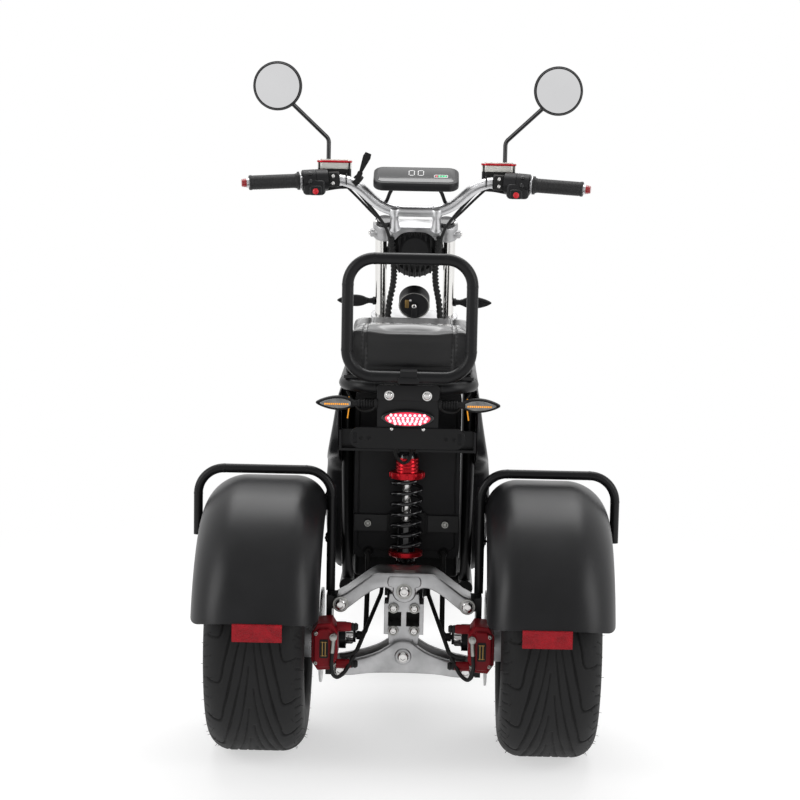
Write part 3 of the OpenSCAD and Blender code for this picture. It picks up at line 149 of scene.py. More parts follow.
class Finish(Nodes):
    """A procedural surface: a colour that drifts a little, a roughness that drifts with it, and a grain."""

    def __init__(self, name, colour, rough, metal=0.0, drift=0.18, drift_scale=9.0, rough_drift=0.08,
                 grain=900.0, bump=0.05, depth=0.0004, edge=0.0, specular=0.5, coat=0.0, coat_rough=0.08):
        self.material = bpy.data.materials.new(name)
        self.material.use_nodes = True
        super().__init__(self.material.node_tree)
        self.shader = self.tree.nodes["Principled BSDF"]
        self.place = self.add("TexCoord", {}).outputs["Object"]
        cloud = self.noise(drift_scale, detail=4.0)
        self.colour = self.mix(cloud, shade(colour, 1 - drift), shade(colour, 1 + drift))
        self.bump = self.add("Bump", {"Strength": bump, "Distance": depth})
        self.set_height(self.noise(grain))
        if edge:
            bevel = self.add("Bevel", {"Radius": edge}, samples=4)
            self.fill(self.bump, {"Normal": bevel.outputs["Normal"]})
        self.set_colour(self.colour)
        self.fill(self.shader, {
            "Roughness": self.span(cloud, rough - rough_drift, rough + rough_drift), "Metallic": metal,
            "Specular IOR Level": specular, "Coat Weight": coat, "Coat Roughness": coat_rough,
            "Normal": self.bump.outputs["Normal"]})

    def noise(self, scale, detail=2.0):
        return self.add("TexNoise", {"Scale": scale, "Detail": detail, "Vector": self.place}).outputs["Fac"]

    def cells(self, scale):
        return self.add("TexVoronoi", {"Scale": scale, "Vector": self.place}).outputs["Distance"]

    def wave(self, axis, scale):
        """Ribs across one of the object's axes."""
        ribs = self.add("TexWave", {"Scale": scale, "Vector": self.place}, bands_direction=axis)
        return ribs.outputs["Fac"]

    def attribute(self, name):
        return self.add("Attribute", {}, attribute_name=name).outputs["Fac"]

    def mix(self, factor, low, high, start=0.3, end=0.7):
        share = self.span(factor, 0.0, 1.0, start, end)
        return self.add("Mix", {0: share, 6: low, 7: high}, data_type="RGBA").outputs[2]

    def tint(self, attribute, colour):
        """Another colour where an attribute of the mesh is 1."""
        self.set_colour(self.mix(self.attribute(attribute), self.colour, shade(colour, 1), 0.0, 1.0))

    def set_height(self, value):
        self.fill(self.bump, {"Height": value})

    def set_colour(self, value):
        self.fill(self.shader, {"Base Color": value})

    def glow(self, colour, strength):
        self.fill(self.shader, {"Emission Color": shade(colour, 1), "Emission Strength": strength})
        return self


# Black plastics, paint and rubber
paint = Finish("satin_black_paint", (0.0065, 0.0065, 0.0072), 0.36, grain=1200, bump=0.06, edge=0.0015,
               specular=0.24)
moulded = Finish("moulded_black_plastic", (0.0115, 0.0115, 0.0125), 0.35, rough_drift=0.05, grain=1900,
                 bump=0.10, depth=0.0003, specular=0.27)
matte = Finish("matte_black_plastic", (0.0085, 0.0085, 0.009), 0.52, grain=1400, bump=0.16, edge=0.001,
               specular=0.2)
gloss = Finish("gloss_black_plastic", (0.006, 0.006, 0.007), 0.14, rough_drift=0.03, grain=300, bump=0.01,
               specular=0.4, coat=0.4, coat_rough=0.04)
panel = Finish("battery_panel_plastic", (0.0085, 0.0085, 0.0095), 0.5, grain=1000, bump=0.5, depth=0.0006,
               specular=0.22, edge=0.003)
rubber = Finish("soft_rubber", (0.012, 0.012, 0.012), 0.62, grain=1500, bump=0.25, specular=0.25)

# Metals
cast = Finish("cast_aluminium", (0.43, 0.43, 0.435), 0.36, metal=1.0, drift=0.24, drift_scale=26, grain=1100,
              bump=0.45, depth=0.0005, edge=0.0018)
rim_paint = Finish("silver_rim_paint", (0.42, 0.42, 0.43), 0.34, metal=0.9, drift=0.08, grain=1700, bump=0.08,
                   edge=0.0012)
satin = Finish("satin_silver", (0.66, 0.66, 0.67), 0.36, metal=1.0, drift=0.05, grain=1800, bump=0.08,
               edge=0.001)
steel = Finish("bright_steel", (0.68, 0.67, 0.66), 0.20, metal=1.0, drift=0.08, grain=800, bump=0.05,
               edge=0.0006)
dull_steel = Finish("zinc_steel", (0.36, 0.36, 0.34), 0.36, metal=1.0, drift=0.16, drift_scale=60, grain=1400,
                    bump=0.12)
chrome = Finish("polished_chrome", (0.80, 0.79, 0.77), 0.10, metal=1.0, drift=0.03, rough_drift=0.03,
                grain=260, bump=0.01)
disc_steel = Finish("brake_disc_steel", (0.50, 0.50, 0.50), 0.30, metal=1.0, drift=0.1, grain=1600, bump=0.15)
brass = Finish("brass", (0.42, 0.27, 0.10), 0.34, metal=1.0, drift=0.15, grain=1200, bump=0.1)
glass = Finish("mirror_glass", (0.86, 0.86, 0.87), 0.03, metal=1.0, drift=0.02, rough_drift=0.01, grain=60,
               bump=0.004)

# Reds
caliper_red = Finish("caliper_red", (0.20, 0.005, 0.010), 0.42, drift=0.24, drift_scale=30, grain=1500,
                     bump=0.25, edge=0.0015, specular=0.16)
anodised = Finish("anodised_red", (0.46, 0.006, 0.014), 0.26, metal=0.75, drift=0.12, grain=1200, bump=0.06,
                  edge=0.0008)
red_cap = Finish("red_cap", (0.30, 0.008, 0.014), 0.18, drift=0.1, coat=0.6, coat_rough=0.05)
button_red = Finish("red_button", (0.62, 0.010, 0.020), 0.30, drift=0.08, grain=1200)

# Lenses and lights
resin = Finish("clear_resin", (0.70, 0.69, 0.64), 0.12, drift=0.06, drift_scale=40, coat=0.5, coat_rough=0.04)
clear_lens = Finish("clear_lens", (0.17, 0.17, 0.165), 0.10, drift=0.3, drift_scale=120, coat=0.6,
                    coat_rough=0.03)
head_glass = Finish("headlamp_glass", (0.55, 0.57, 0.60), 0.08, drift=0.15, drift_scale=50, metal=0.5,
                    coat=1.0, coat_rough=0.02)
amber = Finish("amber_led", (0.75, 0.28, 0.02), 0.3, drift=0.2, drift_scale=90).glow((1.0, 0.42, 0.04), 0.5)
red_lens = Finish("red_lens", (0.50, 0.010, 0.016), 0.16, drift=0.2, drift_scale=70, coat=0.7)
red_lens.glow((1.0, 0.03, 0.09), 1.05)
red_led = Finish("lit_led", (1.0, 0.35, 0.38), 0.3, drift=0.2, drift_scale=90).glow((1.0, 0.40, 0.44), 2.0)
white_led = Finish("lit_segment", (0.5, 0.5, 0.5), 0.4, drift=0.05).glow((1.0, 1.0, 1.0), 0.45)
green_led = Finish("green_segment", (0.02, 0.45, 0.16), 0.4, drift=0.05).glow((0.02, 0.65, 0.22), 0.7)

# Leatherette: a pebbled grain, a paler middle panel, and a top that use has polished
leather = Finish("black_leatherette", (0.0065, 0.0065, 0.0070), 0.40, drift=0.2, rough_drift=0.05,
                 specular=0.46, bump=0.28, coat_rough=0.14)
leather_grain = leather.math("MULTIPLY", leather.noise(1600), 0.4)
leather.set_height(leather.math("ADD", leather.cells(430), leather_grain))
leather.fill(leather.shader, {"Coat Weight": leather.attribute("worn")})
leather.tint("panel", (0.0125, 0.0125, 0.013))

# Reflectors: red prisms behind a clear face
prism = Finish("red_reflector", (0.30, 0.003, 0.010), 0.3, drift=0.25, drift_scale=60, specular=0.2,
               coat=0.08, coat_rough=0.06, bump=0.7, depth=0.001)
prism.set_height(prism.cells(380))

# Tyre: dusty rubber, tinted near black in the grooves as painted shade for their hollows
tyre = Finish("tyre_rubber", (0.0135, 0.0135, 0.014), 0.6, drift=0.16, drift_scale=26, rough_drift=0.07,
              grain=1300, bump=0.3, specular=0.2)
tyre.tint("groove", (0.004, 0.004, 0.004))

# Grips: ribs and a fine grain
grip_skin = Finish("ribbed_grip", (0.021, 0.021, 0.0215), 0.5, drift=0.15, bump=0.3, depth=0.0005,
                   specular=0.25)
grip_grain = grip_skin.math("MULTIPLY", grip_skin.noise(1500), 0.3)
grip_skin.set_height(grip_skin.math("ADD", grip_skin.wave("X", 40), grip_grain))

SKINS = {
    paint: ["main_frame", "seat_frame", "shock_mount", "battery_strap", "backrest_hoop", "fender_rails",
            "tail_bracket", "cross_guard", "swingarm", "knuckles", "front_axle", "shock_body"],
    moulded: ["rear_fenders", "front_fender", "side_covers", "seat_pan", "footboard"],
    matte: ["plate_holder", "rear_indicators", "front_indicators", "switch_pods", "brake_levers", "horn",
            "headlamp"],
    gloss: ["gauge", "mirrors", "shock_spring"],
    panel: ["battery_box"],
    cast: ["upper_arm", "lower_arm", "centre_upright", "fork_yokes", "top_crown", "fork_sliders"],
    rim_paint: ["front_rim", "rear_rim_left", "rear_rim_right"],
    steel: ["pivot_bolts"],
    satin: ["handlebar"],
    chrome: ["fork_tubes"],
    disc_steel: ["front_disc", "rear_disc_left", "rear_disc_right"],
    caliper_red: ["rear_calipers", "front_caliper"],
    anodised: ["shock_collars"],
    rubber: ["motor_cables", "brake_hoses", "looms"],
    grip_skin: ["grips"],
    glass: ["mirror_glass"],
    prism: ["reflectors"],
    red_lens: ["tail_lamp"],
    tyre: ["front_tyre", "rear_tyre_left", "rear_tyre_right"],
    leather: ["seat"],
}
for finish, names in SKINS.items():
    for name in names:
        mesh = nodes[name].data
        mesh.materials.clear()
        mesh.materials.append(finish.material)


# Shapes


def steps(low, high, size):
    return np.linspace(low, high, max(2, int(math.ceil(abs(high - low) / size)) + 1))


def arc(x, y, r, start, end, count=8):
    """Points of an arc, its angles in degrees."""
    turn = np.radians(np.linspace(start, end, count + 1))
    return [(x + r * math.cos(a), y + r * math.sin(a)) for a in turn]


def round_box(width, height, r, count=6):
    x, y = width / 2 - r, height / 2 - r
    corners = ((x, y, 0), (-x, y, 90), (-x, -y, 180), (x, -y, 270))
    return [p for cx, cy, start in corners for p in arc(cx, cy, r, start, start + 90, count)]


def smooth_line(points, count):
    """Points along a smooth curve through the given ones."""
    p = np.array(points, float)
    ends = np.vstack([2 * p[0] - p[1], p, 2 * p[-1] - p[-2]])
    out = []
    for a, b, c, d in zip(ends[:-3], ends[1:-2], ends[2:-1], ends[3:]):
        for t in np.linspace(0, 1, count, endpoint=False):
            bend = (2 * a - 5 * b + 4 * c - d) * t ** 2 + (3 * b - a - 3 * c + d) * t ** 3
            out.append(0.5 * (2 * b + (c - a) * t + bend))
    out.append(p[-1])
    return np.array(out)


def curve(points, count):
    """A smooth stretch of an outline."""
    return [tuple(p) for p in smooth_line(points, count)]


def whole(half):
    """An outline from its right half, which runs up from the middle to the middle."""
    return half + [(-x, z) for x, z in reversed(half) if x > 0.5]


def on_side(outline, sign):
    """An outline of the right side, drawn on that side or on the left."""
    return outline if sign > 0 else [(-x, z) for x, z in reversed(outline)]


def unit(v):
    v = np.array(v, float)
    return v / np.linalg.norm(v)


def sided(points, sign):
    """Places of the right side, kept there or mirrored to the left."""
    return np.array(points, float) * (sign, 1, 1)


def across(axis):
    """Two directions square to an axis and to each other."""
    axis = unit(axis)
    first = unit(np.cross(axis, X if abs(axis[0]) < 0.9 else Z))
    return first, np.cross(axis, first)


class Shape:
    """Points and faces of one piece."""

    def __init__(self):
        self.points, self.faces = [], []

    def grid(self, points, round_u=False, round_v=False, caps=False):
        """Quads over rows and columns of points, joined round either way; caps close the end rows."""
        rows, columns = points.shape[:2]
        number = np.arange(rows * columns).reshape(rows, columns) + len(self.points)
        below = np.roll(number, -1, axis=0)
        a, b = (number, below) if round_u else (number[:-1], below[:-1])
        c, d = np.roll(b, -1, axis=1), np.roll(a, -1, axis=1)
        if not round_v:
            a, b, c, d = (q[:, :-1] for q in (a, b, c, d))
        self.points.extend(points.reshape(-1, 3).tolist())
        self.faces.extend(np.stack([a, b, c, d], axis=-1).reshape(-1, 4).tolist())
        if caps:
            self.faces.extend([number[0].tolist(), number[-1][::-1].tolist()])
        return self

    def lathe(self, profile, place, axis, count=32, hexagon=()):
        """A profile of distance along an axis and radius, turned about it; some columns are six-sided."""
        u, v = across(axis)
        turn = TURN * np.arange(count) / count
        ring = np.outer(np.cos(turn), u) + np.outer(np.sin(turn), v)
        flat = math.cos(math.pi / 6) / np.cos(np.mod(turn, math.pi / 3) - math.pi / 6)
        columns = []
        for i, (along, r) in enumerate(profile):
            reach = r * (flat if i in hexagon else np.ones(count))
            columns.append(np.array(place, float) + unit(axis) * along + ring * reach[:, None])
        return self.grid(np.stack(columns, axis=1), round_u=True)

    def ring(self, place, axis, inner, outer, height, count=32):
        """A plain collar, or a plain rod where inner is 0."""
        profile = [(0, inner), (0, outer), (height, outer), (height, inner)]
        return self.lathe(profile, place, axis, count)

    def tube(self, path, radius, sides=12):
        """A round bar along a path; radius is one number, or one for each point, or each point and side."""
        path = np.array(path, float)
        tangent = np.gradient(path, axis=0)
        tangent /= np.linalg.norm(tangent, axis=1)[:, None]
        side = across(tangent[0])[0]
        turn = TURN * np.arange(sides) / sides
        reach = np.array(radius, float)
        if reach.ndim == 1:
            reach = reach[:, None]
        rows = []
        for p, t, r in zip(path, tangent, np.broadcast_to(reach, (len(path), sides))):
            side = unit(side - t * np.dot(side, t))
            ring = np.outer(np.cos(turn), side) + np.outer(np.sin(turn), np.cross(t, side))
            rows.append(p + r[:, None] * ring)
        return self.grid(np.array(rows), round_v=True, caps=True)

    def lead(self, points, count, r, sides=10):
        """A cable on a smooth curve through the given points."""
        return self.tube(smooth_line(points, count), r, sides)

    def slab(self, outline, depth, place, x, y, soft=1.0):
        """An outline drawn along x and y, thickened along their normal, with its edges rounded."""
        x, y = unit(x), unit(y)
        normal = np.cross(x, y)
        flat = np.array(outline, float)
        edge = np.roll(flat, -1, axis=0) - flat
        out = np.stack([edge[:, 1], -edge[:, 0]], axis=1)
        out /= np.maximum(np.linalg.norm(out, axis=1), 1e-9)[:, None]
        lean = out + np.roll(out, 1, axis=0)
        lean /= np.maximum(np.linalg.norm(lean, axis=1), 1e-9)[:, None]
        rows = []
        for up, start, end in ((soft, 180, 90), (depth - soft, 90, 0)):
            for a in np.radians(np.linspace(start, end, 4)):
                inner = flat - lean * soft * (1 - math.sin(a))
                rows.append(np.array(place, float) + np.outer(inner[:, 0], x) + np.outer(inner[:, 1], y)
                            + normal * (up + soft * math.cos(a)))
        return self.grid(np.array(rows), round_v=True, caps=True)

    def plate(self, outline, depth, place, soft=1.0):
        """A slab that stands upright and is thickened to the rear."""
        return self.slab(outline, depth, place, X, Z, soft)

    def tile(self, outline, depth, place, soft=1.0):
        """A slab that lies flat and is thickened upward."""
        return self.slab(outline, depth, place, X, Y, soft)

    def bolt(self, place, axis, r, height):
        """A domed socket-head bolt standing on a place."""
        profile = [(0, 0), (0, 1), (0.45, 1), (0.8, 0.86), (1, 0.62), (1, 0.5), (0.35, 0.5), (0.35, 0)]
        scaled = [(along * height, share * r) for along, share in profile]
        return self.lathe(scaled, place, axis, 24, (5, 6))

    def nut(self, place, axis, r, height):
        """A hexagonal nut or bolt head with its washer."""
        profile = [(0, 0), (0, 1.18), (0.15, 1.18), (0.15, 1), (0.85, 1), (1, 0.82), (1, 0)]
        scaled = [(along * height, share * r) for along, share in profile]
        return self.lathe(scaled, place, axis, 24, (3, 4, 5))

    def mesh(self, name):
        mesh = bpy.data.meshes.new(name)
        points = np.array(self.points) + (0, REAR_AXLE_Y, 0)
        mesh.from_pydata((points * MM).tolist(), [], self.faces)
        return mesh


def shapes(count):
    return [Shape() for _ in range(count)]


def piece(name, shape, slot, finish, sharp=38, closed=True):
    """A new piece from a shape or a mesh, which rides with the node whose slot it takes."""
    mesh = shape.mesh(name) if isinstance(shape, Shape) else shape
    if closed:
        work = bmesh.new()
        work.from_mesh(mesh)
        bmesh.ops.remove_doubles(work, verts=work.verts, dist=1e-6)
        bmesh.ops.dissolve_degenerate(work, edges=work.edges, dist=1e-7)
        bmesh.ops.recalc_face_normals(work, faces=work.faces)
        work.to_mesh(mesh)
        work.free()
    mesh.materials.clear()
    mesh.materials.append(finish.material)
    mesh.shade_smooth()
    mesh.set_sharp_from_angle(angle=math.radians(sharp))
    obj = bpy.data.objects.new(name, mesh)
    scene.collection.objects.link(obj)
    body = body_of(nodes[slot])[0]
    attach(obj, body)
    return obj


def stand_in(name, shape, node, finish, sharp=38, closed=True):
    """A new piece that takes the place of a node."""
    obj = piece(name, shape, node, finish, sharp, closed)
    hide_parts(node)
    return obj


# Tyres with their tread

# A groove of one side: distance from the middle and height above the hook, as shares of the half width and of
# the pitch, from the shoulder round the hook and up to the middle
HOOK_SHARES = [(0.95, 0.05), (0.80, 0.01), (0.69, 0.0), (0.62, 0.05), (0.58, 0.18), (0.545, 0.42),
               (0.48, 0.70), (0.43, 0.92), (0.375, 1.25), (0.28, 1.75), (0.185, 2.25), (0.09, 3.0)]
# A groove without a hook, between two of the others
BLADE_SHARES = [(0.50, 0.62), (0.45, 0.90), (0.385, 1.20), (0.295, 1.65), (0.20, 2.15), (0.11, 2.75),
                (0.045, 3.4)]
GROOVE_DEPTH = 3.4
GROOVE_HALF = 1.9
GROOVE_SLOPE = 2.2
HAIR = 7.0
HAIRS_PER_PITCH = 4
HAIR_LEVEL = math.radians(52)


def distance_to(line, x, y):
    best = np.full(x.shape, 1e9)
    for (ax, ay), (bx, by) in zip(line[:-1], line[1:]):
        dx, dy = bx - ax, by - ay
        t = np.clip(((x - ax) * dx + (y - ay) * dy) / (dx * dx + dy * dy), 0, 1)
        best = np.minimum(best, np.hypot(x - ax - t * dx, y - ay - t * dy))
    return best


def tread_depth(side, along, half, pitch):
    """How deep the grooves are, 0 to 1, at places across and along one pitch of the tread."""
    depth = np.zeros(side.shape)
    lines = [smooth_line(np.array(shares) * [half, pitch], 5) for shares in (HOOK_SHARES, BLADE_SHARES)]
    width = GROOVE_HALF * np.clip((np.abs(side) - 0.05 * half) / (0.35 * half), 0.45, 1.0)
    for sign in SIDES:
        start = np.mod(along + (0 if sign > 0 else pitch / 2), pitch)
        groove = np.zeros(side.shape)
        for back in range(4):
            for line in lines:
                near = distance_to(line, side * sign, start + back * pitch)
                groove = np.maximum(groove, np.clip((width + 1.2 - near) / GROOVE_SLOPE, 0, 1))
        sipe = np.abs(np.mod(start + side * sign * 0.3, pitch / 4) - pitch / 8)
        edge = (side * sign > 0.93 * half) & (side * sign < 1.12 * half)
        groove = np.maximum(groove, edge * np.clip((1.6 - sipe) / 1.2, 0, 1) * 0.7)
        depth = np.maximum(depth, groove * (side * sign > 0.5))
    return depth


def make_tyre(node, centre, radius, width, shoulder, rim_radius, pitches, step):
    half, bend, level = width / 2, width / 2 - shoulder, radius - shoulder
    side = [(bend + shoulder * math.sin(a), level + shoulder * math.cos(a))
            for a in steps(math.pi / 2, 0, step / shoulder)]
    wall = [(half, r) for r in steps(rim_radius + shoulder * 0.35, level, 10)[:-1]]
    lip = [(half - shoulder * 0.55, rim_radius), (half - shoulder * 0.2, rim_radius + shoulder * 0.12)]
    crown = [(x, radius) for x in steps(bend, -bend, step)[1:-1]]
    one = lip + wall + side
    x, r = np.array(one + crown + [(-x, r) for x, r in reversed(one)]).T
    pitch = TURN * radius / pitches
    per_pitch = int(math.ceil(pitch / step))
    along = np.arange(per_pitch) * pitch / per_pitch
    spread = np.where(r < level, np.sign(x) * 2 * half, x + np.sign(x) * (radius - r) * 0.6)
    depth = np.tile(tread_depth(*np.meshgrid(spread, along), half, pitch), (pitches, 1))[::-1]
    turn = -TURN * np.arange(len(depth))[:, None] / len(depth)
    reach = r[None, :] - depth * GROOVE_DEPTH
    points = np.stack([np.broadcast_to(x, depth.shape), reach * np.sin(turn), reach * np.cos(turn)], axis=-1)
    mesh = Shape().grid(points + np.array(centre), True, True).mesh(node + "_tread")
    # The groove depth is kept on the mesh too, where the tyre's material reads it to paint shade into the
    # grooves
    groove = mesh.attributes.new("groove", "FLOAT", "POINT")
    groove.data.foreach_set("value", depth.reshape(-1).astype(np.float32))
    stand_in(node + "_tread", mesh, node, tyre, 180, closed=False)

    # Moulding hairs in rows round both shoulders
    hairs = Shape()
    count = HAIRS_PER_PITCH * pitches
    for sign in SIDES:
        for i in range(count):
            a = TURN * (i + (0.0 if sign > 0 else 0.5)) / count
            out = np.array((0, math.sin(a), math.cos(a)))
            lean = HAIR_LEVEL + 0.28 * math.sin(3.1 * i)
            foot = np.array(centre) + (sign * (bend + shoulder * math.sin(lean)), 0, 0)
            foot = foot + out * (level + shoulder * math.cos(lean))
            way = unit((sign * math.sin(lean), 0, 0) + out * math.cos(lean))
            curl = across(way)[0] * math.sin(1.7 * i) * 1.6
            reach = HAIR * (0.6 + 0.4 * math.sin(2.3 * i) ** 2) * (0.5 if abs(foot[2]) < 12 else 1.0)
            hairs.tube([foot - way, foot + way * 0.5 * reach + 0.3 * curl, foot + way * reach + curl],
                       [0.5, 0.42, 0.25], 4)
    piece(node + "_hairs", hairs, node, rubber)


for side, sign in (("left", -1), ("right", 1)):
    make_tyre("rear_tyre_" + side, (sign * WHEEL_X, 0, REAR_R), REAR_R, width=187, shoulder=46,
              rim_radius=131, pitches=16, step=2.15)
make_tyre("front_tyre", (0, WHEELBASE, FRONT_R), FRONT_R, width=100, shoulder=40, rim_radius=156, pitches=22,
          step=2.6)


# Fenders: shells turned about the axle, with rounded corners

FENDER_WALL = 4.0


def fender_line(gap, top, inner, inner_r, outer, outer_r, margin, counts):
    """Pairs of radius and x across a fender: a rounded shoulder, the flat top and the other shoulder."""
    first, last = inner + inner_r, outer - outer_r
    flat = np.linspace(first + margin, last - margin, counts[1])
    return np.array(arc(top - inner_r, first, inner_r - gap, -90, 0, counts[0])
                    + [(top - gap, x) for x in flat]
                    + arc(top - outer_r, last, outer_r - gap, 0, 90, counts[2]))


def fender_shell(shape, section, sign, centre, start, end, corner, columns=90):
    """A section turned about an axle between two angles from straight ahead, in degrees, over the top."""
    outer, inner = (fender_line(gap, *section) * (1, sign) for gap in (0.0, FENDER_WALL))
    run = np.concatenate([[0], np.cumsum(np.hypot(*np.diff(outer, axis=0).T))])
    edge = np.minimum(np.minimum(run, run[-1] - run), corner)
    far = np.abs(outer[:, 1] - outer[[0, -1], 1][:, None]).min(axis=0)
    cut = sum(corner - np.sqrt(np.maximum(corner ** 2 - (corner - np.minimum(d, corner)) ** 2, 0))
              for d in (edge, far))
    inset = cut / outer[:, 0]
    start, end = math.radians(start), math.radians(end)
    turn = start + inset + np.linspace(0, 1, columns)[:, None] * (end - start - 2 * inset)
    layers = []
    for line in (outer, inner):
        wide = np.broadcast_to(line[:, 1], turn.shape)
        layers.append(np.stack([wide, line[:, 0] * np.cos(turn), line[:, 0] * np.sin(turn)], axis=-1))
    rows = np.concatenate([layers[0], layers[1][:, ::-1]], axis=1) + np.array(centre)
    return shape.grid(rows, round_v=True, caps=True)


rear_fenders = Shape()
for sign in SIDES:
    fender_shell(rear_fenders, (308, 153, 62, 391, 84, 2, (30, 16, 36)), sign, (0, 0, REAR_R), 46, 163, 20)
stand_in("rear_fender_shells", rear_fenders, "rear_fenders", moulded, 50)

front_fender = Shape()
front_section = (247.5, -58.5, 30, 58.5, 30, 2.5, (12, 12, 12))
fender_shell(front_fender, front_section, 1, (0, WHEELBASE, FRONT_R), 58, 176, 16)
for sign in SIDES:
    stay = [(-10, 0), (10, 0), (10, 5), (-10, 5)]
    front_fender.slab(stay, 3, fork(sign * 58, 0, 217.5) - np.array((1.5, 0, 0)), FORK_AHEAD, FORK_UP, 0.6)
    front_fender.bolt(fork(sign * 58.2, 0, 222), (-sign, 0, 0), 6, 4)
stand_in("front_fender_shell", front_fender, "front_fender", moulded, 50)


# Side covers: bulged panels whose rear edge steps forward below the fenders
COVER_LOW, COVER_HIGH = 300, 690
COVER_X = [(300, 146), (330, 157), (380, 165), (440, 167.4), (500, 166), (545, 161), (590, 153), (630, 146),
           (665, 141), (690, 137)]
COVER_REAR = [(300, 280), (312, 256), (340, 242), (480, 240), (515, 226), (538, 180), (556, 90), (575, 42),
              (605, 22), (632, 20), (665, 32), (690, 78)]
COVER_FRONT = [(300, 390), (315, 425), (345, 446), (370, 450), (620, 450), (655, 440), (678, 420), (690, 392)]
COVER_IN = 134.0
COVER_EDGE = 2
COVER_ROUND = 22


def rounded_line(table, z, reach=9):
    """A line through a table of heights and distances, its corners averaged off."""
    heights, values = np.array(table, float).T
    levels = [np.clip(z + d, heights[0], heights[-1]) for d in np.linspace(-reach, reach, 9)]
    return np.mean([np.interp(level, heights, values) for level in levels], axis=0)


covers = Shape()
z = np.linspace(COVER_LOW, COVER_HIGH, 150)[:, None]
rear, front = rounded_line(COVER_REAR, z), rounded_line(COVER_FRONT, z)
y = rear + np.linspace(0, 1, 60)[None, :] * (front - rear)
near = np.minimum(np.minimum(y - rear, front - y), np.minimum(z - COVER_LOW, COVER_HIGH - z))
rounded = np.sqrt(np.clip(1 - (1 - np.clip(near / COVER_ROUND, 0, 1)) ** 2, 0, 1))
x = COVER_IN + COVER_EDGE + (rounded_line(COVER_X, z) - COVER_IN - COVER_EDGE) * rounded
z = np.broadcast_to(z, y.shape)
outer, inner = (np.stack([wide, y, z], axis=-1) for wide in (x, np.full(y.shape, COVER_IN)))
for sign in SIDES:
    covers.grid(np.concatenate([outer, inner[:, ::-1]], axis=1) * (sign, 1, 1), round_v=True, caps=True)
stand_in("side_cover_panels", covers, "side_covers", moulded, 60)


# Seat: a padded cover on the pan, with a middle panel between two bolsters

SEAT_LOW = 734.2
SEAT_MIDDLE_Y = 284
SEAM_X = 86.0
STEP_Y = 232
BOLSTER_X = 124
# The blank is cut a little small, and the cloth swells from it by no more than the cap
BLANK_SHARES = (0.965, 0.985, 0.95)
CAP = 0.007
VOXEL = 0.0055
HELD_HEIGHT = 7
PRESSURE = 4.0
FRAMES = 20


def evaluated(obj):
    return bpy.data.meshes.new_from_object(obj.evaluated_get(bpy.context.evaluated_depsgraph_get()))


def vectors(mesh, key):
    """The places or normals of a mesh's points."""
    out = np.empty(len(mesh.vertices) * 3, np.float32)
    mesh.vertices.foreach_get(key, out)
    return out.reshape(-1, 3).astype(float)


def place_points(mesh, points):
    mesh.vertices.foreach_set("co", points.astype(np.float32).reshape(-1))


def settled(mesh, move, rounds=24):
    """The swelling with its creases drawn taut: each point's move is averaged with its neighbours'."""
    ends = np.empty(len(mesh.edges) * 2, np.int32)
    mesh.edges.foreach_get("vertices", ends)
    a, b = ends.reshape(-1, 2).T
    count = 1 + np.bincount(ends, minlength=len(move))[:, None]
    for _ in range(rounds):
        total = move.copy()
        np.add.at(total, a, move[b])
        np.add.at(total, b, move[a])
        move = total / count
    return move


def swell(obj):
    """Blows the cover up like a cushion, held along its foot."""
    before = vectors(obj.data, "co")
    held = obj.vertex_groups.new(name="held")
    held.add([i for i, p in enumerate(before) if p[2] < (SEAT_LOW + HELD_HEIGHT) * MM], 1.0, "REPLACE")
    cloth = obj.modifiers.new("cloth", "CLOTH")
    cloth.settings.use_pressure = True
    cloth.settings.uniform_pressure_force = PRESSURE
    cloth.settings.vertex_group_mass = "held"
    cloth.settings.effector_weights.gravity = 0.0
    cloth.point_cache.frame_start, cloth.point_cache.frame_end = 1, FRAMES
    for number in range(1, FRAMES + 1):
        scene.frame_set(number)
    swollen = evaluated(obj)
    move = settled(swollen, vectors(swollen, "co") - before)
    size = np.linalg.norm(move, axis=1)[:, None]
    place_points(swollen, before + move * np.minimum(1, CAP / np.maximum(size, 1e-9)))
    obj.modifiers.clear()
    obj.data = swollen
    scene.frame_set(1)


def pad_mesh():
    mesh = nodes["seat"].data.copy()
    work = bmesh.new()
    work.from_mesh(mesh)
    bmesh.ops.remove_doubles(work, verts=work.verts, dist=1e-6)
    middle = spot(0, SEAT_MIDDLE_Y, SEAT_LOW)
    for vert in work.verts:
        vert.co = middle + Vector([a * share for a, share in zip(vert.co - middle, BLANK_SHARES)])
    work.to_mesh(mesh)
    work.free()
    obj = bpy.data.objects.new("seat_pad_blank", mesh)
    scene.collection.objects.link(obj)
    remesh = obj.modifiers.new("remesh", "REMESH")
    remesh.mode = "VOXEL"
    remesh.voxel_size = VOXEL
    relax = obj.modifiers.new("relax", "SMOOTH")
    relax.iterations = 6
    obj.data = evaluated(obj)
    obj.modifiers.clear()
    swell(obj)
    finer = obj.modifiers.new("finer", "SUBSURF")
    finer.levels = finer.render_levels = 1
    out = evaluated(obj)
    bpy.data.objects.remove(obj)
    return out


def near_line(distance, half):
    return np.exp(-(distance / half) ** 2)


pad = pad_mesh()
pad.name = "seat_pad"
points = vectors(pad, "co")
normals = vectors(pad, "normal")
upward = normals[:, 2]
side = np.abs(points[:, 0]) / MM
behind = points[:, 1] / MM - REAR_AXLE_Y
up = points[:, 2] / MM

# The rear edge of the top is drawn up squarer over the foam
EDGE_Y, EDGE_Z, EDGE_R, SQUARENESS = 50, 784, 44, 8
u, v = np.maximum(EDGE_Y - behind, 0) / EDGE_R, np.maximum(up - EDGE_Z, 0) / EDGE_R
angle = np.arctan2(v, u)
reach = (np.cos(angle) ** SQUARENESS + np.sin(angle) ** SQUARENESS) ** (-1 / SQUARENESS)
squarer = np.where((u > 0) & (v > 0), reach - 1, 0.0)
points[:, 1] -= squarer * u * EDGE_R * MM
points[:, 2] += squarer * v * EDGE_R * MM
behind, up = points[:, 1] / MM - REAR_AXLE_Y, points[:, 2] / MM

